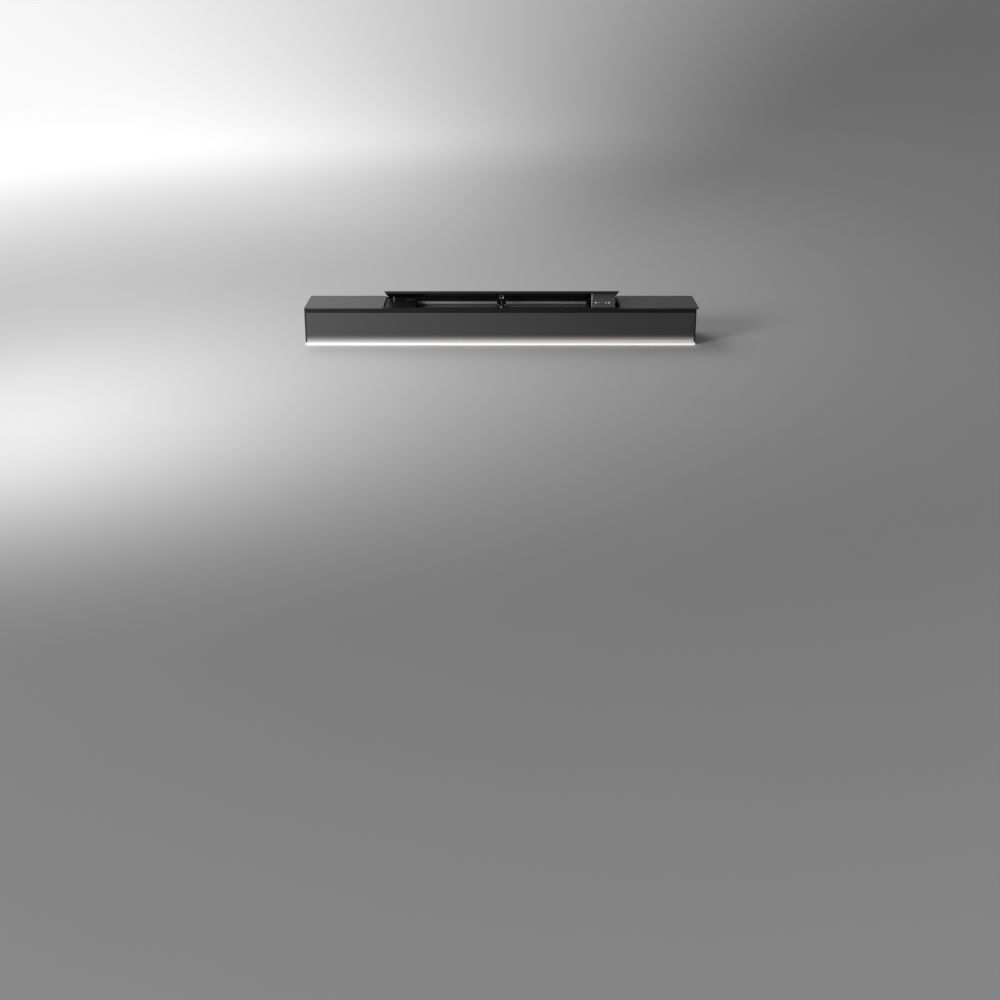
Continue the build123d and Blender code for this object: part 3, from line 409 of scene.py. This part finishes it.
def with_rounded_edges(plain, mesh_name, width, cutter=None):
    """A mesh with its sharp edges rounded and its flat faces shaded flat. A cutter is taken out of
    it first."""
    helper = helper_object(plain)
    if cutter:
        cut = helper.modifiers.new("cut", "BOOLEAN")
        cut.object = cutter
        cut.solver = "EXACT"
    add_bevel(helper, width, 2)
    level = helper.modifiers.new("level", "WEIGHTED_NORMAL")
    level.keep_sharp = True
    return taken_from(helper, mesh_name)


def ease_edges(name, width, cutter=None):
    """A copy of a node with its sharp edges rounded, which stands for the node."""
    plain = merged_copy(name)
    shade_by_angle(plain)
    mesh = with_rounded_edges(plain, name + "_eased", width, cutter)
    piece = piece_from(mesh, name + "_eased", body_of_node[name], slot_of_node[name], finish_of(name))
    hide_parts(name)


# How far each node's edges are rounded, in millimetres
EASED = {
    "top_plate_left": 0.7, "top_plate_right": 0.7, "lid_glass": 0.7, "front_glass": 0.4,
    "end_panel_left": 0.3, "end_panel_right": 0.3, "front_rim": 0.5, "lid_frame": 0.5,
    "module_cover_left": 0.7, "module_cover_right": 0.6, "pod_tray": 0.6, "pod_housing": 0.9,
    "pod_glass": 0.5, "centre_bridge": 0.6, "filter_trims": 1.3, "filter_handles": 0.4,
    "grease_filter_left": 0.4, "grease_filter_right": 0.4, "filter_deck": 0.3, "lift_brackets": 0.3,
    "damper_bracket": 0.4, "damper_lug": 0.5, "hinge_fixed_leaves": 0.25, "hinge_moving_leaves": 0.25,
    "rear_panel": 0.3, "light_profile": 0.3,
}


# ---------------------------------------------------------------- repeated pieces as node trees


def new_tree(name, inputs):
    """A geometry node tree with named inputs, and its group input and output nodes."""
    tree = bpy.data.node_groups.new(name, "GeometryNodeTree")
    tree.interface.new_socket("Geometry", in_out="INPUT", socket_type="NodeSocketGeometry")
    for label, kind in inputs:
        tree.interface.new_socket(label, in_out="INPUT", socket_type="NodeSocket" + kind)
    tree.interface.new_socket("Geometry", in_out="OUTPUT", socket_type="NodeSocketGeometry")
    return tree, tree.nodes.new("NodeGroupInput"), tree.nodes.new("NodeGroupOutput")


def close_tree(tree, geometry, finish, end):
    """Realize Instances and Set Material, then the output."""
    real = add_node(tree, "GeometryNodeRealizeInstances")
    tree.links.new(geometry, real.inputs["Geometry"])
    paint = add_node(tree, "GeometryNodeSetMaterial")
    tree.links.new(real.outputs["Geometry"], paint.inputs["Geometry"])
    tree.links.new(finish, paint.inputs["Material"])
    tree.links.new(paint.outputs["Geometry"], end.inputs["Geometry"])


def screw_tree():
    """A round screw head with a six-lobed recess on every point, along the point's facing."""
    tree, start, end = new_tree("screw_heads", [
        ("Head Radius", "Float"), ("Head Height", "Float"), ("Recess Radius", "Float"),
        ("Recess Depth", "Float"), ("Finish", "Material")])
    given = start.outputs
    head = add_node(tree, "GeometryNodeMeshCylinder", {"Vertices": 28})
    tree.links.new(given["Head Radius"], head.inputs["Radius"])
    tree.links.new(given["Head Height"], head.inputs["Depth"])
    star = add_node(tree, "GeometryNodeCurveStar", {"Points": 6})
    tree.links.new(given["Recess Radius"], star.inputs["Outer Radius"])
    tree.links.new(math_on(tree, "MULTIPLY", given["Recess Radius"], 0.74), star.inputs["Inner Radius"])
    fill = add_node(tree, "GeometryNodeFillCurve", mode="NGONS")
    tree.links.new(star.outputs["Curve"], fill.inputs["Curve"])
    grow = add_node(tree, "GeometryNodeExtrudeMesh", {"Individual": False})
    tree.links.new(fill.outputs["Mesh"], grow.inputs["Mesh"])
    tree.links.new(math_on(tree, "MULTIPLY", given["Recess Depth"], 2.0), grow.inputs["Offset Scale"])
    flip = add_node(tree, "GeometryNodeFlipFaces")
    tree.links.new(fill.outputs["Mesh"], flip.inputs["Mesh"])
    both = add_node(tree, "GeometryNodeJoinGeometry")
    tree.links.new(grow.outputs["Mesh"], both.inputs["Geometry"])
    tree.links.new(flip.outputs["Mesh"], both.inputs["Geometry"])
    weld = add_node(tree, "GeometryNodeMergeByDistance", {"Distance": 0.00001})
    tree.links.new(both.outputs["Geometry"], weld.inputs["Geometry"])
    lift = add_node(tree, "GeometryNodeTransform")
    offset = add_node(tree, "ShaderNodeCombineXYZ")
    top = math_on(tree, "MULTIPLY", given["Head Height"], 0.5)
    tree.links.new(math_on(tree, "SUBTRACT", top, given["Recess Depth"]), offset.inputs["Z"])
    tree.links.new(weld.outputs["Geometry"], lift.inputs["Geometry"])
    tree.links.new(offset.outputs["Vector"], lift.inputs["Translation"])
    cut = add_node(tree, "GeometryNodeMeshBoolean", operation="DIFFERENCE", solver="EXACT")
    tree.links.new(head.outputs["Mesh"], cut.inputs["Mesh 1"])
    tree.links.new(lift.outputs["Geometry"], cut.inputs["Mesh 2"])
    facing = add_node(tree, "GeometryNodeInputNamedAttribute", {"Name": "facing"},
                      data_type="FLOAT_VECTOR")
    align = add_node(tree, "FunctionNodeAlignRotationToVector", axis="Z")
    tree.links.new(facing.outputs["Attribute"], align.inputs["Vector"])
    place = add_node(tree, "GeometryNodeInstanceOnPoints")
    tree.links.new(given["Geometry"], place.inputs["Points"])
    tree.links.new(cut.outputs["Mesh"], place.inputs["Instance"])
    tree.links.new(align.outputs["Rotation"], place.inputs["Rotation"])
    close_tree(tree, place.outputs["Instances"], given["Finish"], end)
    return tree


def expanded_mesh_tree():
    """Expanded metal: strands along X that lean to and fro and meet their neighbours."""
    tree, start, end = new_tree("expanded_mesh", [
        ("Strands", "Int"), ("Points", "Int"), ("Half Cell", "Float"), ("Strand Pitch", "Float"),
        ("Wire Radius", "Float"), ("Finish", "Material")])
    given = start.outputs
    step_x = add_node(tree, "ShaderNodeCombineXYZ")
    tree.links.new(given["Half Cell"], step_x.inputs["X"])
    strand = add_node(tree, "GeometryNodeMeshLine")
    tree.links.new(given["Points"], strand.inputs["Count"])
    tree.links.new(step_x.outputs["Vector"], strand.inputs["Offset"])
    step_y = add_node(tree, "ShaderNodeCombineXYZ")
    tree.links.new(given["Strand Pitch"], step_y.inputs["Y"])
    row = add_node(tree, "GeometryNodeMeshLine")
    tree.links.new(given["Strands"], row.inputs["Count"])
    tree.links.new(step_y.outputs["Vector"], row.inputs["Offset"])
    place = add_node(tree, "GeometryNodeInstanceOnPoints")
    tree.links.new(row.outputs["Mesh"], place.inputs["Points"])
    tree.links.new(strand.outputs["Mesh"], place.inputs["Instance"])
    real = add_node(tree, "GeometryNodeRealizeInstances")
    tree.links.new(place.outputs["Instances"], real.inputs["Geometry"])
    where = add_node(tree, "GeometryNodeInputPosition")
    parts = parts_of(tree, where.outputs["Position"])
    column = math_on(tree, "ROUND", math_on(tree, "DIVIDE", parts["X"], given["Half Cell"]), 0)
    line = math_on(tree, "ROUND", math_on(tree, "DIVIDE", parts["Y"], given["Strand Pitch"]), 0)
    odd = math_on(tree, "PINGPONG", math_on(tree, "ADD", column, line), 1.0)
    lean = math_on(tree, "MULTIPLY", math_on(tree, "SUBTRACT", odd, 0.5), given["Strand Pitch"])
    shift = add_node(tree, "ShaderNodeCombineXYZ")
    tree.links.new(lean, shift.inputs["Y"])
    bend = add_node(tree, "GeometryNodeSetPosition")
    tree.links.new(real.outputs["Geometry"], bend.inputs["Geometry"])
    tree.links.new(shift.outputs["Vector"], bend.inputs["Offset"])
    wire = add_node(tree, "GeometryNodeMeshToCurve")
    tree.links.new(bend.outputs["Geometry"], wire.inputs["Mesh"])
    ring = add_node(tree, "GeometryNodeCurvePrimitiveCircle", {"Resolution": 4})
    tree.links.new(given["Wire Radius"], ring.inputs["Radius"])
    tube = add_node(tree, "GeometryNodeCurveToMesh", {"Fill Caps": True})
    tree.links.new(wire.outputs["Curve"], tube.inputs["Curve"])
    tree.links.new(ring.outputs["Curve"], tube.inputs["Profile Curve"])
    close_tree(tree, tube.outputs["Mesh"], given["Finish"], end)
    return tree


def grown(tree, source, settings, mesh_name, ease=0.0):
    """The mesh that a tree makes from a source mesh, with the named inputs set."""
    helper = helper_object(source)
    modifier = helper.modifiers.new("grow", "NODES")
    modifier.node_group = tree
    sockets = {item.name: item.identifier for item in tree.interface.items_tree
               if item.in_out == "INPUT"}
    for label, value in settings.items():
        modifier[sockets[label]] = value
    if ease:
        add_bevel(helper, ease)
    return taken_from(helper, mesh_name)


screws = screw_tree()
expanded = expanded_mesh_tree()
SCREW_HEAD = 3.0 * MM               # radius of a screw's head
SCREW_RISE = 0.9 * MM


def screw_group(name, body, places, radius=SCREW_HEAD, rise=SCREW_RISE):
    """Screw heads that sit on a surface at each (point, facing)."""
    source = bpy.data.meshes.new(name + "_points")
    source.from_pydata([Vector(point) + Vector(facing) * rise / 2 for point, facing in places], [], [])
    facing_data = source.attributes.new("facing", "FLOAT_VECTOR", "POINT")
    for row, (_, facing) in zip(facing_data.data, places):
        row.vector = facing
    mesh = grown(screws, source, {
        "Head Radius": radius, "Head Height": rise, "Recess Radius": radius * 0.5,
        "Recess Depth": rise * 0.6, "Finish": bright_steel}, name, ease=rise * 0.3)
    shade_by_angle(mesh)
    piece_from(mesh, name, body, "steel")


def round_cutter(places, radius, depth):
    """One mesh of round plugs, each sunk by a depth behind its point, to cut seats with."""
    work = bmesh.new()
    for point, facing in places:
        turn = Vector(facing).to_track_quat("Z", "Y").to_matrix().to_4x4()
        turn.translation = Vector(point)
        bmesh.ops.create_cone(work, cap_ends=True, segments=ROUND_SEGMENTS, radius1=radius,
                              radius2=radius, depth=2 * depth, matrix=turn)
    mesh = bpy.data.meshes.new("cutter")
    work.to_mesh(mesh)
    work.free()
    cutter = bpy.data.objects.new("cutter", mesh)
    bpy.context.scene.collection.objects.link(cutter)
    cutter.hide_render = True
    return cutter


UP = (0.0, 0.0, 1.0)
BACK = (0.0, 1.0, 0.0)

# Sunk screws that hold the rear panel to the folded edges inside, in a long lower row and two short
# upper rows beside the lid
SEAT_DEPTH = 1.1 * MM
SEAT_GAP = 0.2 * MM                 # round a sunk head
LOWER_ROW_COUNT = 9
LOWER_ROW_MARGIN = 0.03             # as a share of the panel's length
LOWER_ROW_Z = 12 * MM
UPPER_ROW_X = (-0.70, -0.59, -0.48, 0.48, 0.59, 0.70)
UPPER_ROW_Z = 132 * MM
panel_low, panel_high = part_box("rear_panel")
rear_screws = []
for i in range(LOWER_ROW_COUNT):
    share = LOWER_ROW_MARGIN + (1 - 2 * LOWER_ROW_MARGIN) * i / (LOWER_ROW_COUNT - 1)
    along = panel_low.x + (panel_high.x - panel_low.x) * share
    rear_screws.append(((along, panel_high.y, LOWER_ROW_Z), BACK))
rear_screws += [((x, panel_high.y, UPPER_ROW_Z), BACK) for x in UPPER_ROW_X]
rear_cutter = round_cutter(rear_screws, SCREW_HEAD + SEAT_GAP, SEAT_DEPTH)
# The panel's seats are cut before its edges are eased
for name, width in EASED.items():
    ease_edges(name, width * MM, rear_cutter if name == "rear_panel" else None)
bpy.data.objects.remove(rear_cutter)
screw_group("rear_screws", "cabinet",
            [((x, y - SEAT_DEPTH, z), facing) for (x, y, z), facing in rear_screws])

# Screws of the module covers
COVER_SCREW_INSET = 12 * MM         # from the ends of a cover
RIGHT_COVER_TAB = (8 * MM, 10 * MM)     # from its right end and from its back
left_low, left_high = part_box("module_cover_left")
right_low, right_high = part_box("module_cover_right")
cover_places = [
    ((x, y, left_high.z), UP)
    for x, row in ((left_low.x + COVER_SCREW_INSET, (-0.055, 0.070)),
                   (left_high.x - COVER_SCREW_INSET, (-0.055, 0.060)))
    for y in row
]
cover_places += [
    ((x, right_high.y - RIGHT_COVER_TAB[1], right_high.z), UP)
    for x in (right_low.x + COVER_SCREW_INSET, right_high.x - RIGHT_COVER_TAB[0])
]
screw_group("cover_screws", "cabinet", cover_places, radius=2.6 * MM, rise=0.7 * MM)

# Screws in the feet of the lift brackets
BRACKET_SHEET = 1.5 * MM
BRACKET_SCREW_INSET = 7.5 * MM
BRACKET_SCREW_Y = (0.054, 0.078)
bracket_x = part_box("lift_brackets")[1].x - BRACKET_SCREW_INSET
foot_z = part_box("filter_deck")[1].z + BRACKET_SHEET
screw_group("bracket_screws", "cabinet",
            [((side * bracket_x, y, foot_z), UP) for side in (-1, 1) for y in BRACKET_SCREW_Y],
            radius=2.2 * MM, rise=0.7 * MM)

# Expanded metal behind the slots of each filter
MESH_HALF_CELL = 4.2 * MM
MESH_PITCH = 3.0 * MM
MESH_WIRE = 0.45 * MM               # radius of a strand
MESH_BORDER = 8 * MM                # the filter's solid edge
MESH_START = MESH_BORDER + MM       # centre of the first strand's first point
MESH_DEPTH = 3.5 * MM               # below the filter's face
for name, mesh_name in (("grease_filter_left", "filter_mesh_left"),
                        ("grease_filter_right", "filter_mesh_right")):
    low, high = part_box(name)
    mesh = grown(expanded, bpy.data.meshes.new("none"), {
        "Strands": int((high.y - low.y - 2 * MESH_BORDER) / MESH_PITCH),
        "Points": int((high.x - low.x - 2 * MESH_BORDER) / MESH_HALF_CELL),
        "Half Cell": MESH_HALF_CELL, "Strand Pitch": MESH_PITCH, "Wire Radius": MESH_WIRE,
        "Finish": filter_metal}, mesh_name)
    mesh.transform(Matrix.Translation((low.x + MESH_START, low.y + MESH_START, high.z - MESH_DEPTH)))
    piece_from(mesh, mesh_name, "cabinet", "filter")

# ---------------------------------------------------------------- rails, latch and damper fittings


def drawn_bars(name, section, corner, spans, body, slot, ease, upright=False):
    """Bars of one section along each span. The section's points are in millimetres from a corner,
    which is in metres: (y, z) for bars along X, and (x, y) for bars that stand upright."""
    work = bmesh.new()
    for start, stop in spans:
        rings = []
        for end in (start, stop):
            outline = [(corner[0] + a * MM, corner[1] + b * MM) for a, b in section]
            rings.append([work.verts.new((a, b, end) if upright else (end, a, b)) for a, b in outline])
        work.faces.new(rings[0])
        work.faces.new(rings[1][::-1])
        for i in range(len(section)):
            j = (i + 1) % len(section)
            work.faces.new((rings[0][i], rings[1][i], rings[1][j], rings[0][j]))
    bmesh.ops.recalc_face_normals(work, faces=work.faces)
    plain = bpy.data.meshes.new(name + "_plain")
    work.to_mesh(plain)
    work.free()
    shade_by_angle(plain)
    piece_from(with_rounded_edges(plain, name, ease * MM), name, body, slot)


# A raised rail along the rear edge of each filter: a foot and a thin wall
RAIL_SECTION = ((-3.0, 0.0), (0.0, 0.0), (0.0, 5.2), (-1.2, 5.2), (-1.2, 1.0), (-3.0, 1.0))
RAIL_END_GAP = 2 * MM
filter_low, filter_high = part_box("grease_filter_right")
rail_start, rail_stop = filter_low.x + RAIL_END_GAP, filter_high.x - RAIL_END_GAP
drawn_bars("filter_rails", RAIL_SECTION, (filter_high.y, filter_high.z),
           [(side * rail_start, side * rail_stop) for side in (-1, 1)], "cabinet", "filter", 0.25)

# The finger latch of the left cover: a flat foot with a grip along its middle
LATCH_SECTION = ((-5.0, 0.0), (5.0, 0.0), (5.0, 0.8), (2.6, 1.0), (1.4, 2.6), (0.0, 2.6), (-1.2, 1.0),
                 (-5.0, 0.8))
LATCH_Y = 0.060
LATCH_SPAN = (-0.374, -0.351)
drawn_bars("cover_latch", LATCH_SECTION, (LATCH_Y, left_high.z), [LATCH_SPAN], "cabinet", "filter", 0.2)

# The bright strip that guards the left edge of the pod's glass
EDGE_SECTION = ((-1.5, 5.0), (-1.5, -0.3), (-0.8, -1.0), (1.6, -1.0), (1.6, 0.0), (0.0, 0.0), (0.0, 5.0))
EDGE_FOOT, EDGE_HEAD = 2 * MM, 4 * MM   # from the lower and the upper end of the glass
pod_low, pod_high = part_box("pod_glass")
drawn_bars("pod_edge_strip", EDGE_SECTION, (pod_low.x, pod_low.y),
           [(pod_low.z + EDGE_FOOT, pod_high.z - EDGE_HEAD)], "lid", "aluminium", 0.2, upright=True)

# The gland nut on the damper cylinder, and the caps on the damper's upper pin
CYLINDER_TOP = 60 * MM              # from the damper's foot, along its axis
NUT_HEIGHT = 4 * MM
NUT_HALF_FLATS = 4.8 * MM
NUT_BORE = 3.3 * MM
RING_STEPS = 48
NUT_EASE = 0.35 * MM
UPPER_PIN = (14.27 * MM, 156.9 * MM)    # y and z
BRIDGE_SCREW_X = (-0.0125, 0.0125)
BRIDGE_SCREW_Y = (-0.045, 0.052)
joints = {row["name"]: row for row in frame["record"]["behaviour"]["joints"]}
damper_foot = Vector(joints["damper_swing"]["pos_m"])
damper_axis = Vector(joints["damper_stroke"]["axis"])


def ring_mesh(name, outer, inner, height):
    """A ring from z 0 to its height, whose outer radius is a function of the angle."""
    work = bmesh.new()
    angles = [2 * math.pi * i / RING_STEPS for i in range(RING_STEPS)]
    loops = []
    for reach in (lambda angle: inner, outer):
        for z in (0.0, height):
            loops.append([work.verts.new((reach(a) * math.cos(a), reach(a) * math.sin(a), z))
                          for a in angles])
    inner_low, inner_top, outer_low, outer_top = loops
    for low_loop, top_loop in ((inner_low, inner_top), (inner_top, outer_top), (outer_top, outer_low),
                               (outer_low, inner_low)):
        for i in range(RING_STEPS):
            j = (i + 1) % RING_STEPS
            work.faces.new((low_loop[i], low_loop[j], top_loop[j], top_loop[i]))
    bmesh.ops.recalc_face_normals(work, faces=work.faces)
    mesh = bpy.data.meshes.new(name)
    work.to_mesh(mesh)
    work.free()
    return mesh


def hexagon(angle):
    """The reach of the nut's hexagon at an angle."""
    turn = (angle + math.pi / 6) % (math.pi / 3) - math.pi / 6
    return NUT_HALF_FLATS / math.cos(turn)


nut = ring_mesh("gland_nut_plain", hexagon, NUT_BORE, NUT_HEIGHT)
place = damper_axis.to_track_quat("Z", "Y").to_matrix().to_4x4()
place.translation = damper_foot + damper_axis * CYLINDER_TOP
nut.transform(place)
shade_by_angle(nut)
piece_from(with_rounded_edges(nut, "gland_nut", NUT_EASE), "gland_nut", "damper_cylinder", "steel")
lug_low, lug_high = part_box("damper_lug")
screw_group("damper_pin_caps", "lid",
            [((lug_high.x, *UPPER_PIN), (1.0, 0.0, 0.0)), ((lug_low.x, *UPPER_PIN), (-1.0, 0.0, 0.0))],
            radius=3.8 * MM, rise=1.2 * MM)
bridge_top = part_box("centre_bridge")[1].z
screw_group("bridge_screws", "cabinet",
            [((x, y, bridge_top), UP) for x in BRIDGE_SCREW_X for y in BRIDGE_SCREW_Y],
            radius=3.2 * MM, rise=2.2 * MM)

# ---------------------------------------------------------------- touch marks on the pod
TOUCH_MARKS = ((15.0, 2.1), (26.5, 1.1), (54.0, 1.6), (65.8, 2.1))  # place along the pod and radius, in mm
MARK_HEIGHT = 29 * MM               # above the foot of the pod's glass
MARK_THICKNESS = 0.12 * MM
upright = Matrix.Rotation(math.radians(90), 4, "X")
work = bmesh.new()
for along, radius in TOUCH_MARKS:
    at = Matrix.Translation((pod_low.x + along * MM, pod_low.y, pod_low.z + MARK_HEIGHT))
    bmesh.ops.create_cone(work, cap_ends=True, segments=ROUND_SEGMENTS, radius1=radius * MM,
                          radius2=radius * MM, depth=2 * MARK_THICKNESS, matrix=at @ upright)
marks_mesh = bpy.data.meshes.new("touch_marks")
work.to_mesh(marks_mesh)
work.free()
piece_from(marks_mesh, "touch_marks", "lid", "gloss_black", touch_marks)

# ---------------------------------------------------------------- stage, lamps and camera
FILL = 0.19                         # strength of the surroundings as a light
PALE_LEFT = 0.95                    # how pale they look behind the vent, on the left
PALE_RIGHT = 0.15                   # and on the right
PALE_FRONT = 0.34                   # and in front of the vent
FLOOR_REACH = 150.0
FLOOR_DROP = 0.2 * MM               # below the foot of the vent
FLOOR_FADES = (0.7, 6.0)            # distances between which the floor runs into the surroundings
FLOOR_SENDS_BACK = 0.55             # share of the fill
STRIP_SIZE = (1.485, 9 * MM)        # of the lamp that stands for the strip's light
STRIP_AHEAD = 0.5 * MM              # in front of the diffuser
CAMERA_PLACE = (0.0, -4.367, 1.393)
CAMERA_PITCH = math.radians(16.7)   # below the horizon
CAMERA_SENSOR = 36.0
CAMERA_LENS = 42.28
CAMERA_SHIFT = (-0.0016, -0.1826)
CAMERA_FAR = 500.0


def surround_tone(tree, direction):
    """How pale the surroundings are towards a direction, as a socket: paler to the left, and even in
    front of the vent."""
    level = add_node(tree, "ShaderNodeVectorMath", operation="NORMALIZE")
    tree.links.new(direction, level.inputs[0])
    parts = parts_of(tree, level.outputs["Vector"])
    side = spread(tree, parts["X"], PALE_LEFT, PALE_RIGHT, -0.5, 0.4, "SMOOTHSTEP")
    tone = add_node(tree, "ShaderNodeMix", {"A": PALE_FRONT})
    tree.links.new(spread(tree, parts["Y"], 0.0, 1.0, -0.8, 0.5, "SMOOTHSTEP"), tone.inputs["Factor"])
    tree.links.new(side, tone.inputs["B"])
    return tone.outputs["Result"]


def seen_directly(tree):
    """One for camera, glossy and transmission rays, and zero for the rest, as a socket."""
    path = add_node(tree, "ShaderNodeLightPath").outputs
    either = math_on(tree, "MAXIMUM", path["Is Camera Ray"], path["Is Glossy Ray"])
    return math_on(tree, "MAXIMUM", either, path["Is Transmission Ray"])


def add_floor():
    """A pale floor that runs into the surroundings past the lamps' reach."""
    mesh = bpy.data.meshes.new("floor")
    corners = [(x * FLOOR_REACH, y * FLOOR_REACH, 0.0) for x, y in ((-1, -1), (1, -1), (1, 1), (-1, 1))]
    mesh.from_pydata(corners, [], [(0, 1, 2, 3)])
    floor = bpy.data.objects.new("floor", mesh)
    bpy.context.scene.collection.objects.link(floor)
    floor.location.z = -FLOOR_DROP
    material, tree, shader = blank_material("pale_floor")
    where = place_on(tree, EVEN)
    cloud = noise_on(tree, where, 3.0, 4.0)
    tree.links.new(tint(tree, cloud, (0.51, 0.51, 0.51), (0.53, 0.53, 0.53)),
                   shader.inputs["Base Color"])
    shader.inputs["Roughness"].default_value = 0.7
    shader.inputs["Specular IOR Level"].default_value = 0.0
    distance = add_node(tree, "ShaderNodeVectorMath", operation="LENGTH")
    tree.links.new(where, distance.inputs[0])
    # Painted light: past the lamps' reach the floor glows for camera, glossy and transmission rays in the
    # surroundings' tone, paler to the left as if lit from there
    far = spread(tree, distance.outputs["Value"], 0.0, 1.0, *FLOOR_FADES, "SMOOTHSTEP")
    tone = math_on(tree, "SUBTRACT", surround_tone(tree, where), FILL * FLOOR_SENDS_BACK)
    lit = math_on(tree, "MULTIPLY", math_on(tree, "MULTIPLY", far, tone), seen_directly(tree))
    tree.links.new(lit, shader.inputs["Emission Strength"])
    shader.inputs["Emission Color"].default_value = (1.0, 1.0, 1.0, 1.0)
    mesh.materials.append(material)


def add_surroundings():
    """An even, weak fill of light, seen by the camera and in the glass as pale walls."""
    world = bpy.data.worlds.new("studio")
    bpy.context.scene.world = world
    world.use_nodes = True
    tree = world.node_tree
    background = tree.nodes["Background"]
    background.inputs["Color"].default_value = (1.0, 1.0, 1.0, 1.0)
    coordinates = add_node(tree, "ShaderNodeTexCoord")
    strength = add_node(tree, "ShaderNodeMix", {"A": FILL})
    tree.links.new(seen_directly(tree), strength.inputs["Factor"])
    tree.links.new(surround_tone(tree, coordinates.outputs["Generated"]), strength.inputs["B"])
    tree.links.new(strength.outputs["Result"], background.inputs["Strength"])


def add_lamp(name, place, aim, size, power, opening=180.0):
    """A soft lamp of a width and height that shines from a place towards a point. It throws its
    light within the opening angle, in degrees."""
    light = bpy.data.lights.new(name, "AREA")
    light.shape = "RECTANGLE"
    light.size, light.size_y = size
    light.energy = power
    light.spread = math.radians(opening)
    lamp = bpy.data.objects.new(name, light)
    bpy.context.scene.collection.objects.link(lamp)
    lamp.location = place
    lamp.visible_camera = False
    lamp.rotation_mode = "QUATERNION"
    lamp.rotation_quaternion = (Vector(aim) - Vector(place)).to_track_quat("-Z", "Y")


def add_camera():
    """The camera of the photograph."""
    camera = bpy.data.cameras.new("camera")
    camera.sensor_width = CAMERA_SENSOR
    camera.lens = CAMERA_LENS
    camera.shift_x, camera.shift_y = CAMERA_SHIFT
    camera.clip_end = CAMERA_FAR
    holder = bpy.data.objects.new("camera", camera)
    bpy.context.scene.collection.objects.link(holder)
    holder.location = CAMERA_PLACE
    holder.rotation_euler = (math.radians(90.0) - CAMERA_PITCH, 0.0, 0.0)
    bpy.context.scene.camera = holder


add_floor()
add_surroundings()
strip_low, strip_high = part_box("light_diffuser")
strip_z = (strip_low.z + strip_high.z) / 2
add_lamp("key_left", (-2.2, -1.9, 1.30), (-0.9, 0.0, 0.1), (1.2, 1.0), 20.5, 85.0)
add_lamp("strip_light", (0.0, strip_low.y - STRIP_AHEAD, strip_z), (0.0, -1.0, strip_z),
         STRIP_SIZE, 0.12)
add_lamp("left_soft", (-3.6, 1.8, 4.0), (-2.2, 2.0, 0.0), (4.0, 4.0), 70.0)
add_lamp("rear_soft", (-1.4, 2.4, 2.6), (-0.2, 0.0, 0.1), (2.0, 2.0), 14.0, 130.0)
add_camera()
bpy.context.scene.view_settings.view_transform = "Standard"
